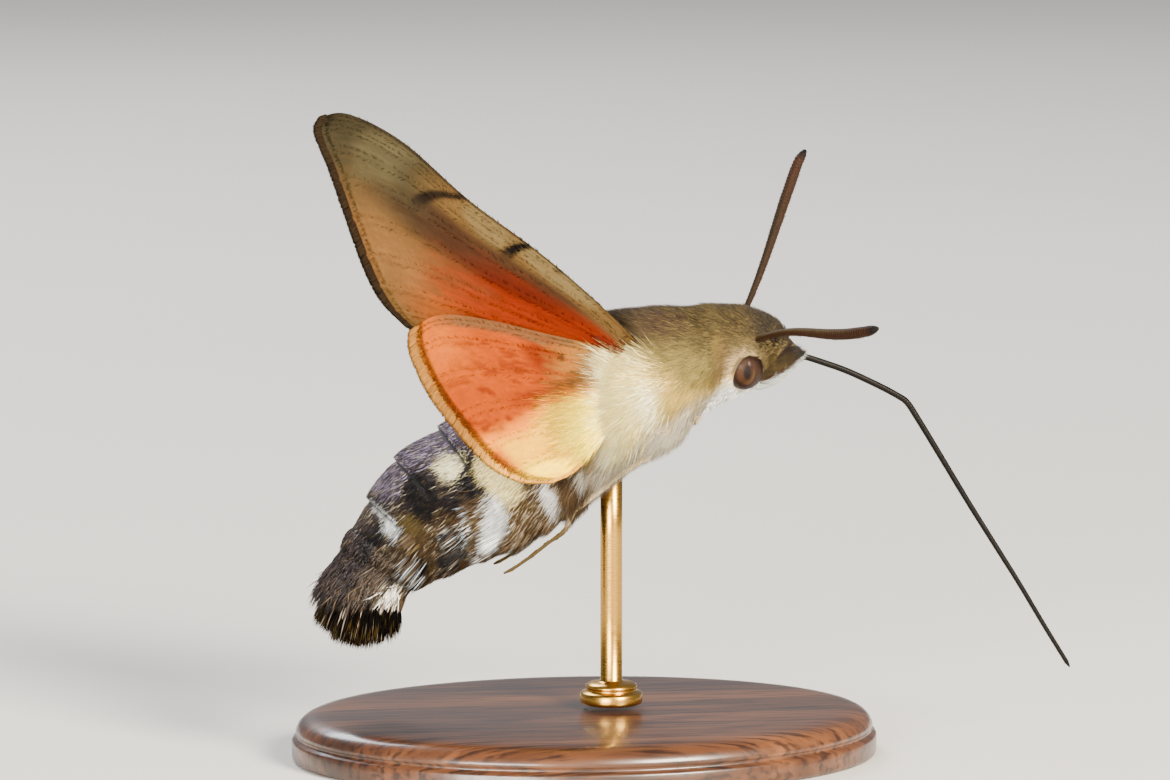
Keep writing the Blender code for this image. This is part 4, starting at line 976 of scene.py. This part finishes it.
def tufts(roots, lie, outward, length, width, lift, sweep, roll, rings=HAIR_TUFT, thick=0.8):
    """Points, triangles, and the place along and across each tuft, for tapered three-sided tufts."""
    number = len(roots)
    length, width, lift, sweep, roll = (np.broadcast_to(value, number)[:, None]
                                        for value in (length, width, lift, sweep, roll))
    across = unit(np.cross(lie, outward))
    outward = np.cross(across, lie)
    flat = across * np.cos(roll) + outward * np.sin(roll)
    ridge = outward * np.cos(roll) - across * np.sin(roll)

    def spine(at):
        return roots + lie * length * at + outward * lift * (2 * at - at * at) + across * sweep * at * at

    points, places = [], []
    for at, share in rings:
        half = width * share / 2
        points += [spine(at) - flat * half, spine(at) + flat * half, spine(at) + ridge * half * 2 * thick]
        places += [(0.0, at), (1.0, at), (0.5, at)]
    points.append(spine(1.0))
    places.append((0.5, 1.0))
    corners = []
    for ring in range(len(rings)):
        for i, j in ((0, 1), (1, 2), (2, 0)):
            i, j = ring * 3 + i, ring * 3 + j
            if ring < len(rings) - 1:
                corners += [(i, i + 3, j + 3), (i, j + 3, j)]
            else:
                corners.append((i, len(points) - 1, j))
    faces = (np.arange(number)[:, None, None] * len(points) + np.array(corners)[None]).reshape(-1, 3)
    return np.stack(points, 1), faces, np.array(places)


BAKE_PATCH = 0.003               # the size of a tuft's patch on the bake map
BAKE_SPREAD, BAKE_EDGE = 0.99, 0.002     # the share of the map that the patches fill, and its margin
GLINT_SHARE = 0.75               # how far a glint takes over a tuft's colour


def coat_piece(name, made, tone, unwrapped, material, draw, tips=None, tip_from=0.35):
    """A piece of coat from tufts, with a colour and a place on the skin's unwrap for each, and
    a colour at its tip where that differs."""
    points, faces, places = made
    number, each = points.shape[:2]
    bake = unwrapped[:, None, :] * BAKE_SPREAD + places[None] * BAKE_PATCH + BAKE_EDGE
    along = smooth((places[None, :, 1:] - tip_from) / (0.95 - tip_from))
    coat = tone[:, None] + ((tone if tips is None else tips) - tone)[:, None] * along
    values = {"coat": coat.reshape(-1, 3), "share": np.tile(places[:, 1], number),
              "strand": np.repeat(draw.random(number), each)}
    return piece(name, points, faces, material, values=values, bake=bake.reshape(-1, 2))


def hair(name, surface, count, a_span, b_span, length, width, lift, tone, material, seed,
         sway=0.0, keep=None, wanted=None, lock=0.5, glints=(), thick=0.8, sink=0.05, untidy=0.25,
         rings=HAIR_TUFT, blur=(0.06, 3.0), uneven=0.11, streak=0.10, roll=0.35, ahead=0.0):
    """Grow one piece of coat on a surface. Length, width, lift and sway may be numbers or go by
    place, lock is the spacing in millimetres of the streaks that the tips gather in, blur is how
    far the colours stray, ahead how far towards the tips they are read, roll how unevenly the
    tufts are turned, and glints are colours that a share of the tufts takes."""
    draw = np.random.default_rng(seed)
    a, b = scatter(surface, count, a_span, b_span, draw, wanted)

    def there(value):
        return value(a, b) if callable(value) else np.full(len(a), float(value))

    da, db = (a_span[1] - a_span[0]) * SLOPE_STEP, (b_span[1] - b_span[0]) * SLOPE_STEP
    roots = surface(a, b, -sink)
    outward = unit(surface(a, b, 0.3) - surface(a, b, -0.3))
    along = unit(surface(a + da, b, 0.0) - surface(a - da, b, 0.0))
    across = np.cross(along, outward)
    turned = there(sway) + draw.normal(0, untidy, len(a))
    lie = unit(along * np.cos(turned)[:, None] + across * np.sin(turned)[:, None])
    width_now = there(width) * draw.uniform(0.7, 1.3, len(a))
    long = there(length) * draw.uniform(0.75, 1.15, len(a))
    girth = np.linalg.norm(surface(a, b + db, 0.0) - surface(a, b - db, 0.0), axis=-1) / (2 * db)
    phase = b * girth / lock + 1.3 * cloud(a * 3, b / 12) + 0.4 * draw.normal(0, 1, len(a))
    gather = -0.22 * lock * np.sin(2 * np.pi * phase)
    tints = tone(a + ahead + draw.normal(0, blur[0], len(a)), b + draw.normal(0, blur[1], len(a)))
    tints = tints * (1 + streak * np.cos(2 * np.pi * phase) + draw.normal(0, uneven, len(a)))[:, None]
    for glint, part in glints:
        chosen = draw.random(len(a)) < (part(a + ahead, b) if callable(part) else part)
        glow = np.array(linear(glint)[:3]) * GLINT_SHARE
        tints[chosen] = tints[chosen] * (1 - GLINT_SHARE) + glow
    made = tufts(roots, lie, outward, long, width_now, there(lift) * draw.uniform(0.6, 1.2, len(a)), gather,
                 draw.normal(0, roll, len(a)), rings, thick)
    unwrapped = np.stack([(at - span[0]) / (span[1] - span[0])
                          for at, span in ((a, a_span), (b, b_span))], -1)
    if keep is not None:
        clear = keep(made[0])
        made = made[0][clear], made[1][:clear.sum() * (len(made[1]) // len(clear))], made[2]
        tints, unwrapped = tints[clear], unwrapped[clear]
    return coat_piece(name, made, np.clip(tints, 0, 1), unwrapped, material, draw)


EYE_OPENING = 0.80               # the share of an eye's size that stays free of hair


def off_the_eyes(points):
    """True for tufts that leave the eyes' openings free."""
    clear = np.ones(len(points), bool)
    for side, _ in SIDES:
        middle = head_turn(EYE_CENTRE * (1, side, 1), 0.0)
        outward = head_turn(EYE_CENTRE * (1, side, 1) + (0.0, side, 0.0), 0.0) - middle
        apart = (points - middle) / EYE_RADII
        depth = apart @ outward
        beside = np.linalg.norm(apart - depth[..., None] * outward, axis=-1)
        clear &= ~((depth > 0.0) & (beside < EYE_OPENING)).any(axis=1)
    return clear


def coat_material(name, roughness, sheen, root_shade_tone, coat_weight, specular):
    """Hair or scales in the coat's colours, with painted shade towards the root and uneven from tuft to tuft.
    """
    made = blank(name)
    share = add(made, "Attribute", attribute_name="share").outputs["Fac"]
    strand = add(made, "Attribute", attribute_name="strand").outputs["Fac"]
    # painted shade: the tufts darken towards their roots
    shade = add(made, "ValToRGB", {"Fac": share}, stops=((0.0, root_shade_tone), (0.4, "#ffffff")))
    change = add(made, "ValToRGB", {"Fac": strand}, stops=((0.0, "#b8b0a8"), (0.6, "#ffffff")))
    shaded = add(made, "MixRGB", {"Fac": 1.0, "Color1": add(made, "Attribute", attribute_name="coat"),
                                  "Color2": shade}, blend_type="MULTIPLY")
    grain = add(made, "TexNoise", {"Scale": per_mm(0.05), "Detail": 2.0})
    add(made, "OutputMaterial", {"Surface": add(made, "BsdfPrincipled", {
        "Base Color": add(made, "MixRGB", {"Fac": 0.45, "Color1": shaded, "Color2": change},
                          blend_type="MULTIPLY"),
        "Roughness": add(made, "MapRange", {"Value": strand, "To Min": roughness - 0.1,
                                            "To Max": roughness + 0.1}),
        "Specular IOR Level": specular,
        "Sheen Weight": sheen, "Sheen Roughness": 0.35, "Coat Weight": coat_weight, "Coat Roughness": 0.25,
        "Normal": add(made, "Bump", {"Height": grain, "Strength": 0.15, "Distance": 0.00001})})})
    return made


# Moth hair: matt and soft, with painted shade that darkens it towards its root, and a faint bloom.
soft_hair = coat_material("soft_moth_hair", 0.62, 0.03, "#c4b8ac", 0.0, 0.16)
# Wing root hair: silky, with only a little painted shade at its root, so that it stays light where it lies
# deep.
silky_hair = coat_material("silky_wing_root_hair", 0.6, 0.04, "#f0e8dc", 0.0, 0.1)
# Wing scales: matt velvet that catches a little light on its ridges, with hardly any painted shade at the
# root.
velvet_scales = coat_material("velvet_wing_scales", 0.72, 0.0, "#f4f0ec", 0.0, 0.03)
# Glossy scales: smooth flat scales with a thin clear coat. Their purple and copper come from the coat's
# colours, the lilac partly as painted sheen.
glossy_scales = coat_material("glossy_body_scales", 0.34, 0.0, "#d4ccc4", 0.08, 0.28)


def head_tone(u, angle):
    """The coat's colours, with the thin ring of pale scales round each eye, and a painted shadow of the
    feeler: the dark band that runs from the root of the feeler to the tongue."""
    tone = coat_tone(u, angle)
    place = skin(u, angle, 0.0)
    x, z = place[..., 0], place[..., 2]
    feeler_shadow_band = np.abs(z - 22.50 + 0.8 * np.maximum(x - 10.8, 0)) / 0.20
    for side, _ in SIDES:
        apart = (place - head_turn(EYE_CENTRE * (1, side, 1), 0.0)) / EYE_RADII
        near = np.hypot(apart[..., 0], apart[..., 2])
        on_side = np.sign(angle) == side
        tone = painted(
            tone,
            ("#33280f", 0.85 * smooth((x - 9.3) / 0.5) * smooth((22.6 - z) / 0.4) * on_side),
            ("#7c6a44", 0.7 * smooth((1.55 - near) / 0.3) * smooth((z - 20.7) / 0.5) * on_side),
            ("#d8bc8c", 0.7 * smooth((0.99 - near) / 0.06) * on_side),
            # painted shadow of the feeler, a dark band across the face
            ("#120806", smooth(1.6 - feeler_shadow_band) * smooth((x - 9.1) / 0.4) * on_side))
    return tone


def fold(angle):
    """An angle that runs on past the back, as the same angle up from the belly."""
    return np.where(angle > 180, 360 - angle, angle)


def dark_fleck(u, angle):
    """The share of dark hairs, all on the upper side."""
    return 0.16 * smooth((fold(np.abs(angle)) - 84) / 26)


def light_fleck(u, angle):
    """The share of straw-coloured hairs, most on the head and neck."""
    return 0.16 * smooth((fold(np.abs(angle)) - 70) / 26) * (1 - 0.6 * smooth((u - 4.6) / 1.2))


OLIVE_FLECKS = (("#20180e", dark_fleck), ("#a08a4c", light_fleck))
HEAD_SPAN, THORAX_SPAN, ALL_ROUND = (0.05, 3.1), (2.9, 8.0), (-180.0, 180.0)
hair("head_hair", skin, count=34000, a_span=HEAD_SPAN, b_span=ALL_ROUND,
     length=lambda u, angle: 0.38 + 0.18 * u, width=0.046, lift=lambda u, angle: 0.10 + 0.10 * u,
     tone=head_tone, material=soft_hair, seed=3, keep=off_the_eyes, lock=0.35,
     glints=OLIVE_FLECKS, untidy=0.28, blur=(0.05, 4.0), rings=SHORT_TUFT, ahead=0.10)
hair("thorax_hair_upper", skin, count=50000, a_span=THORAX_SPAN, b_span=(90.0, 270.0),
     length=lambda u, angle: 0.80 + 0.35 * smooth((u - 3.2) / 1.5), width=0.056,
     lift=lambda u, angle: coat_depth(u) * 0.8, tone=lambda u, angle: coat_tone(u, fold(angle)),
     material=soft_hair, seed=4, lock=0.55, glints=OLIVE_FLECKS, untidy=0.26,
     streak=0.06, rings=SHORT_TUFT, ahead=0.2)


def belly_lift(u, angle):
    """The hair under the thorax stands out far enough to bed the folded legs in it."""
    return coat_depth(u) * 0.85 + 0.45 * smooth((64 - np.abs(angle)) / 16) * smooth((u - 3.6) / 0.6)


hair("thorax_hair_lower", skin, count=50000, a_span=THORAX_SPAN, b_span=(-90.0, 90.0),
     length=lambda u, angle: 1.00 + 0.45 * smooth((u - 3) / 1.5), width=0.056, lift=belly_lift,
     tone=coat_tone, material=soft_hair, seed=5, lock=0.6, glints=OLIVE_FLECKS,
     streak=0.07, rings=SHORT_TUFT, untidy=0.22, ahead=0.2,
     sway=lambda u, angle: 0.30 * np.sign(angle) * smooth((np.abs(angle) - 30) / 30))


def lilac_glint(u, angle):
    """The share of scales with a painted lilac sheen, all on the back."""
    return 0.30 * smooth((np.abs(angle) - 128) / 20) * smooth((12.4 - u) / 0.3) * unmarked(u, angle)


def copper_glint(u, angle):
    """The share of copper-coloured scales, most on the sides and belly."""
    share = 0.10 + 0.08 * smooth((100 - np.abs(angle)) / 30) - 0.06 * smooth((np.abs(angle) - 128) / 20)
    return share * (0.15 + 0.85 * unmarked(u, angle))


def pale_glint(u, angle):
    """The share of pale scales, most on the belly's front part."""
    return (0.06 + 0.12 * smooth((10.4 - u) / 0.3) * smooth((84 - np.abs(angle)) / 10)) * unmarked(u, angle)


def black_glint(u, angle):
    """The share of black scales between the marks."""
    return 0.16 * unmarked(u, angle)


def plate_scale_length(u, angle):
    """Scales on the back end at their plate's edge, and those on the sides lap over it."""
    on_side = smooth((128 - np.abs(angle)) / 24)
    left = 0.10 + 1.9 * plate_place(u)[1]
    return np.minimum(0.60 + 0.25 * on_side, left + 0.7 * on_side)


# the lilac scales on the back are a painted sheen
PLATE_GLINTS = (("#b4acd0", lilac_glint), ("#7c6c40", copper_glint), ("#f4e4c4", pale_glint),
                ("#0c080a", black_glint))
for part, span, seed in (("front", (7.6, 11.4), 6), ("rear", (11.2, 15.0), 7)):
    hair(f"abdomen_scales_{part}", skin, count=27000, a_span=span, b_span=ALL_ROUND,
         length=plate_scale_length, width=0.085,
         lift=lambda u, angle: 0.11 + 0.10 * smooth((118 - np.abs(angle)) / 30), tone=coat_tone,
         material=glossy_scales, seed=seed, lock=0.4, thick=0.3, uneven=0.24,
         blur=(0.055, 4.0), rings=SHORT_TUFT, untidy=0.17, roll=0.25, ahead=0.17, glints=PLATE_GLINTS)

for side, word in SIDES:
    hair(f"palp_{word}_scales", palp(side), count=5200, a_span=(0.05, 3.95), b_span=ALL_ROUND,
         length=0.50, width=0.046, lift=0.22, tone=palp_tone, material=soft_hair,
         seed=8 + side, lock=0.2, keep=off_the_eyes, blur=(0.1, 5.0), rings=SHORT_TUFT, untidy=0.3)


# Dress of the legs and feelers. Pale scales lie along the folded legs, and short fine bristles
# stand on the joints of the feelers' clubs.
def limb(path, radii):
    """The surface of a thin limb: along it from 0 to 1, round it in degrees, off the skin."""
    forward = unit(np.gradient(path, axis=0))
    across = unit(np.cross(forward, (0.0, 0.0, 1.0)))
    upward = np.cross(across, forward)
    step = np.linspace(0, 1, len(path))

    def surface(along, angle, out):
        along, angle, out = np.broadcast_arrays(np.asarray(along, float), angle, out)

        def there(values):
            return np.stack([np.interp(along, step, values[:, i]) for i in range(3)], -1)

        turned = np.radians(angle)[..., None]
        reach = (np.interp(along, step, radii) + out)[..., None]
        return there(path) + reach * (there(upward) * np.cos(turned) + there(across) * np.sin(turned))
    return surface


for (pair, side), (path, radii) in leg_paths.items():
    def leg_tone(along, angle):
        return painted(
            plain(along, "#b8a684"),
            ("#6e5a40", 0.8 * smooth((cloud(along * 7, angle / 60) - 0.1) / 0.5)),
            ("#4a3e1a", smooth((along - 0.50) / 0.14) * (pair == "hind")))

    word = "right" if side < 0 else "left"
    hair(f"leg_{pair}_{word}_scales", limb(path, radii), count=420, a_span=(0.08, 0.97), b_span=ALL_ROUND,
         length=lambda along, angle: 0.42 - 0.20 * smooth((along - 0.6) / 0.1) * (pair == "hind"),
         width=0.060, lift=0.04, tone=leg_tone, material=soft_hair,
         seed=20 + len(pair) + side, lock=0.2, blur=(0.01, 5.0), roll=0.1, untidy=0.12, streak=0.0)

for side, word, *_ in FEELERS:
    path, radii = feeler_paths[side]
    hair(f"feeler_{word}_bristles", limb(path, radii * 0.97), count=1700, a_span=(0.16, 0.96),
         b_span=(50.0, 310.0), length=0.20, width=0.034, lift=0.13,
         tone=lambda along, angle: plain(along, "#2e2010"), material=soft_hair,
         seed=31 + side, lock=0.3, untidy=0.1, rings=SHORT_TUFT,
         wanted=lambda along, angle: 0.03 + smooth(((along * FEELER_JOINTS) % 1.0 - 0.7) / 0.1))


# Chin, face and brow. Longer loose hairs hang under the head, short ones lie forward over the
# snout, and a small crest on the brow softens the outline of the face.
hair("chin_hair", skin, count=700, a_span=(1.2, 3.6), b_span=(-46.0, 46.0), length=0.85, width=0.034,
     lift=0.50, tone=lambda u, angle: plain(u, "#fdfcf8"), material=soft_hair, seed=41,
     untidy=0.5, keep=off_the_eyes)
hair("face_hair", skin, count=1500, a_span=(0.02, 1.1), b_span=(56.0, 304.0), length=0.50, width=0.050,
     lift=0.10,
     tone=lambda u, angle: painted(coat_tone(u, fold(angle)), ("#241610", 0.8 * smooth((0.7 - u) / 0.5))),
     material=soft_hair, seed=43, untidy=0.3, sway=math.pi, glints=OLIVE_FLECKS,
     keep=off_the_eyes)
hair("brow_hair", skin, count=1400, a_span=(0.1, 2.2), b_span=(120.0, 240.0), length=0.6, width=0.036,
     lift=0.36, tone=lambda u, angle: coat_tone(u, 130 + 0 * angle), material=soft_hair,
     seed=42, untidy=0.5, keep=off_the_eyes)


# Wing scales and fringes. Rows of small scales lie along the veins on both faces, silky hair
# covers the roots, longest along the hindwings, and a fringe of narrow scales edges each wing:
# pale on the lower face, dark on the upper.
FRINGE_TONES = {"forewing": ("#231a10", "#1c140e"), "hindwing": ("#8a5e28", "#2e1810")}
FRINGE_COUNT, OUTER_EDGE_SHARE, HIND_EDGE_SHARE = 2200, 0.72, 0.28
FRINGE_TUFT = ((0.0, 1.0), (0.7, 0.8))
ROOT_HAIR = {"forewing": (900, (0.10, 0.26)), "hindwing": (4200, (0.16, 0.60))}      # count, stretch


def under_the_top(points):
    """True for tufts that stay below the top of the solids."""
    return points[..., 2].max(axis=1) < cad_high[2] * 1000 - 0.03


for name, tones in WING_TONES.items():
    wing = WINGS[name]
    for side, word in SIDES:
        sheet = wing_sheet(wing, side)

        def lower_face(u, v, out):
            return sheet(u, v, out + MEMBRANE_HALF + 0.8 * VEIN_HEIGHT * vein_ridge(wing, u, v))

        def upper_face(u, v, out):
            return sheet(u, v, -out - MEMBRANE_HALF - 0.8 * VEIN_HEIGHT * vein_ridge(wing, u, v))

        seed = 50 + 3 * side + len(name)
        for face, growing, amount, which in (("lower", lower_face, 19000, 0), ("upper", upper_face, 6000, 1)):
            hair(f"{name}_{word}_{face}_scales", growing, count=amount, a_span=(0.06, 0.93),
                 b_span=(0.01, 0.955), length=0.22, width=0.080, lift=0.014,
                 tone=lambda u, v: tones(u, v)[which], material=velvet_scales,
                 seed=seed + 20 * which, lock=0.9, thick=0.12, untidy=0.10, sink=0.02, rings=SHORT_TUFT,
                 blur=(0.003, 0.006), uneven=0.10, streak=0.0, roll=0.04, keep=under_the_top)
        count, stretch = ROOT_HAIR[name]
        hair(f"{name}_{word}_root_hair", lower_face, count=count, a_span=stretch, b_span=(0.02, 0.97),
             length=1.4, width=0.034, lift=0.08, tone=lambda u, v: tones(u, v)[0], material=silky_hair,
             seed=seed + 1, lock=0.5, untidy=0.12, blur=(0.03, 0.02), uneven=0.08, streak=0.06,
             wanted=lambda u, v: smooth((stretch[1] - u - 0.25 * smooth((0.5 - v) / 0.3)) / 0.3))

        draw = np.random.default_rng(seed + 2)
        at = draw.random(FRINGE_COUNT)
        on_hind_edge = at > OUTER_EDGE_SHARE
        v0 = np.where(on_hind_edge, 1.0, at / OUTER_EDGE_SHARE)
        u0 = np.where(on_hind_edge, 1 - (at - OUTER_EDGE_SHARE) / HIND_EDGE_SHARE, 1.0)
        rim_u, rim_v = rims(wing, sheet, u0, v0)
        below = draw.random(FRINGE_COUNT) < 0.6
        level = np.where(below, 0.03, -0.03)
        roots = sheet(u0 * rim_u - 0.004, v0 * rim_v - 0.004, level)
        tip_u, tip_v = (np.clip(edge + draw.normal(0, 0.004, FRINGE_COUNT), 0, 1) for edge in (u0, v0))
        tips = sheet(tip_u, tip_v, level * draw.uniform(0.5, 3.0, FRINGE_COUNT))
        reach = np.linalg.norm(tips - roots, axis=-1) * draw.uniform(0.82, 1.0, FRINGE_COUNT)
        outward = unit(sheet(u0 * 0.97, v0 * 0.97, 0.1) - sheet(u0 * 0.97, v0 * 0.97, 0.0))
        outward = outward * np.where(below, 1, -1)[:, None]
        made = tufts(roots, unit(tips - roots), outward, length=reach,
                     width=draw.uniform(0.09, 0.17, FRINGE_COUNT), lift=0.0, sweep=0.0,
                     roll=draw.normal(0, 0.3, FRINGE_COUNT), rings=FRINGE_TUFT, thick=0.3)
        pale, dark = (np.array(linear(tone)[:3]) for tone in FRINGE_TONES[name])
        tone = np.where(below[:, None], pale, dark) * draw.uniform(0.7, 1.1, FRINGE_COUNT)[:, None]
        if name == "hindwing":
            tone = painted(tone, ("#c89038", smooth((v0 - 0.55) / 0.2) * below))
        coat_piece(f"{name}_{word}_fringe", made, tone, np.stack([u0 * 0.9, v0 * 0.9], -1), velvet_scales,
                   draw)


# Wing root hair. Long cream hair on the sides of the thorax fans out over the roots of the
# wings and hides where they hinge.
ROOT_TUFT = ((0.0, 0.8), (0.45, 1.0))


def root_hair_tone(u, angle):
    """Cream, turning into the colours of the neck in front."""
    cream = painted(plain(u, "#ffe894"), ("#fffad8", smooth(0.35 + 0.9 * cloud(u * 4, angle / 8))))
    neck = smooth((5.2 - u + 0.012 * (np.abs(angle) - 80)) / 0.6)
    return cream + (coat_tone(u, angle) - cream) * neck[..., None]


def root_hair_lift(u, angle):
    """The hair stands out more towards the wings' roots, and lies flat up on the back."""
    return 0.22 + 0.65 * smooth((u - 4.5) / 1.3) * smooth((126 - np.abs(angle)) / 24)


def root_hair_wanted(u, angle):
    """Full beside the wings' roots, and none away from them."""
    return (smooth((u - 4.3) / 1.0) * smooth((6.7 - u) / 0.9)
            * smooth(1.25 - np.abs(np.abs(angle) - 86) / 32))


for side, word in SIDES:
    hair(f"wing_root_hair_{word}", skin, count=6600, a_span=(4.3, 6.6), b_span=(side * 50.0, side * 116.0),
         length=lambda u, angle: 1.1 + 1.6 * smooth((u - 4.4) / 1.2), width=0.040, lift=root_hair_lift,
         tone=root_hair_tone, material=silky_hair, seed=61 + side, lock=0.6,
         untidy=0.22, blur=(0.1, 4.0), streak=0.05, rings=ROOT_TUFT, wanted=root_hair_wanted,
         sway=lambda u, angle: -side * (np.abs(angle) - 90) / 34 * 0.60)


# Side tufts and tail fan. Loose locks of long scales stand along both sides of the abdomen, and
# a broad fan of dark locks with golden tips ends it.
SIDE_TUFTS = (   # section, angle up from the belly line, length, width, height of the tip
    (9.9, 40, 1.5, 1.1, 0.20), (10.4, 52, 1.7, 1.2, 0.30), (10.9, 40, 1.6, 1.1, 0.30),
    (11.2, 76, 1.7, 1.2, 0.45), (11.6, 58, 1.8, 1.2, 0.55), (12.0, 44, 1.6, 1.1, 0.50),
    (12.2, 96, 1.5, 1.1, 0.40), (12.7, 78, 1.9, 1.2, 0.75), (13.0, 58, 1.4, 1.2, 0.50),
    (13.7, 92, 1.6, 1.2, 0.50), (13.9, 72, 1.2, 1.2, 0.35), (14.1, 50, 1.0, 1.1, 0.20),
)
SIDE_STRANDS, FAN_STRANDS = 100, 145       # strands in one lock
FAN_RINGS = ((15, 1.0, 0.0), (9, 0.56, 20.0), (3, 0.18, 60.0))     # half the locks, size, first angle
FAN_TIP_CENTRE = (-12.60, 7.90)
FAN_TIP_DEPTH, FAN_TIP_WIDTH, FAN_ROOT_DEPTH, FAN_ROOT_WIDTH = 2.30, 3.45, 1.20, 1.25
FAN_SAG, FAN_SIDE_RISE, FAN_BOW, FAN_LOCK_WIDTH = 1.75, 0.55, 0.35, 1.50


def lock(root, tip, normal, width, depth, strands, draw):
    """Roots, tips and outward directions of the strands of one flat lock."""
    across = unit(np.cross(tip - root, normal))
    off = np.clip(draw.normal(0, 0.27, strands), -0.5, 0.5)[:, None]
    deep = draw.uniform(-0.5, 0.5, (strands, 1))
    starts = root + across * off * width * 0.8 + normal * deep * depth
    ends = (tip + across * (off + draw.normal(0, 0.05, (strands, 1))) * width + normal * deep * depth * 0.6
            - (tip - root) * (off ** 2 * 0.5 + draw.uniform(0, 0.16, (strands, 1))))
    return starts, ends, np.repeat(normal[None], strands, axis=0)


def strand_piece(name, bunches, width, bow, tone, tips, unwrapped, material, draw, tip_from=0.35):
    """One piece of coat from the strands of many locks, each bowed a little outwards."""
    starts, ends, outward = (np.concatenate(items) for items in zip(*bunches))
    rise = np.full(len(starts), bow) * draw.uniform(0.4, 1.2, len(starts))
    reach = ends - starts - outward * rise[:, None]
    length = np.linalg.norm(reach, axis=-1)
    made = tufts(starts, unit(reach), outward, length=length,
                 width=width * draw.uniform(0.7, 1.3, len(starts)), lift=rise,
                 sweep=draw.normal(0, 0.06, len(starts)), roll=draw.normal(0, 0.6, len(starts)),
                 rings=LONG_TUFT, thick=0.35)
    return coat_piece(name, made, np.clip(tone, 0, 1), unwrapped, material, draw, tips, tip_from)


for side, word in SIDES:
    draw = np.random.default_rng(71 + side)
    bunches, tones, spots = [], [], []
    for u, angle, length, width, off in SIDE_TUFTS:
        root = body(u, side * angle, -0.35)
        normal = unit(body(u, side * angle, 0.5) - body(u, side * angle, -0.5))
        rearward = unit(body(u + 0.25, side * angle, 0.0) - body(u - 0.25, side * angle, 0.0))
        tip = root + rearward * (length + 0.3) + normal * (0.25 + off * 0.9)
        bunches.append(lock(root, tip, normal, width=width * 1.15, depth=0.55, strands=SIDE_STRANDS,
                            draw=draw))
        spread = draw.normal(0, 0.12, SIDE_STRANDS), draw.normal(0, 7, SIDE_STRANDS)
        tones.append(coat_tone(u + 0.25 + spread[0], angle + spread[1]))
        spots.append(np.tile([(u - 10) / 4, angle / 180], (SIDE_STRANDS, 1))
                     + np.stack(spread, -1) * (0.1, 0.005))
    tone = np.concatenate(tones) * draw.uniform(0.35, 0.85, (len(SIDE_TUFTS) * SIDE_STRANDS, 1))
    tips = painted(tone, ("#e9dcc0", 0.30 * (draw.random(len(tone)) < 0.15)))
    strand_piece(f"side_tufts_{word}", bunches, width=0.085, bow=0.25, tone=tone, tips=tips,
                 unwrapped=np.clip(np.concatenate(spots), 0, 1), material=glossy_scales,
                 draw=draw)

draw = np.random.default_rng(81)
belly_end, back_end = body(TAIL_END, 0.0, 0.0), body(TAIL_END, 180.0, 0.0)
backward = unit(back_end - belly_end)
tailwards = np.array((-backward[2], 0.0, backward[0]))
middle = (belly_end + back_end) / 2 + tailwards * (0.15 + FAN_ROOT_DEPTH * 0.7)
bunches, tones, tips, spots = [], [], [], []
for count, ring_share, first in FAN_RINGS:
    for i in range(count * 2):
        turned = math.radians(first + 180.0 * i / count + draw.uniform(-3, 3))
        deep, wide = math.cos(turned) * ring_share, math.sin(turned) * ring_share
        root = (middle + backward * deep * FAN_ROOT_DEPTH + np.array((0, wide * FAN_ROOT_WIDTH, 0))
                - tailwards * 0.9)
        sag = FAN_SAG * math.sqrt(1.0 - deep * deep) - FAN_SIDE_RISE * wide ** 4
        tip = np.array((FAN_TIP_CENTRE[0] - FAN_TIP_DEPTH * deep, FAN_TIP_WIDTH * wide,
                        FAN_TIP_CENTRE[1] - sag))
        normal = unit(backward * math.cos(turned) + np.array((0, math.sin(turned), 0)))
        tip = root + (tip - root) * draw.uniform(0.93, 1.0)
        bunches.append(lock(root, tip, normal, width=FAN_LOCK_WIDTH * 1.1, depth=0.6, strands=FAN_STRANDS,
                            draw=draw))
        tone = painted(
            plain(range(FAN_STRANDS), "#070504"),
            ("#241c14", 0.7 * smooth(deep / 0.8) * (draw.random(FAN_STRANDS) < 0.4)),
            # a few pale strands: painted glints on the matt black locks
            ("#a89c8c", 0.7 * (draw.random(FAN_STRANDS) < 0.04)))
        tones.append(tone * draw.uniform(0.5, 1.2, (FAN_STRANDS, 1)))
        tips.append(painted(tone, ("#6c5426", 0.7 * (draw.random(FAN_STRANDS) < 0.18))))
        place = (turned / (2 * math.pi)) % 1.0 * 0.95, ring_share * 0.9
        spots.append(np.tile(place, (FAN_STRANDS, 1)) + draw.uniform(0, 0.04, (FAN_STRANDS, 2)))
fan = strand_piece("tail_fan_locks", bunches, width=0.10, bow=FAN_BOW, tone=np.concatenate(tones),
                   tips=np.concatenate(tips), unwrapped=np.clip(np.concatenate(spots), 0, 1),
                   material=velvet_scales, draw=draw, tip_from=0.88)
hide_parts("tail_fan")

# The last plates' scales grow longer into the fan, so that it has no seam.
SKIRT_GLINTS = (("#6c5a3e", copper_glint), ("#0c080a", lambda u, angle: 0.4 * unmarked(u, angle)))
hair("tail_skirt", skin, count=4200, a_span=(13.2, 14.98), b_span=ALL_ROUND,
     length=lambda u, angle: 0.7 + 1.5 * smooth((u - 13.2) / 1.7), width=0.066,
     lift=lambda u, angle: 0.20 + 0.45 * smooth((u - 13.4) / 1.5), tone=coat_tone,
     material=glossy_scales, seed=91, lock=0.6, uneven=0.35, blur=(0.06, 4.0),
     glints=SKIRT_GLINTS, rings=LONG_TUFT)
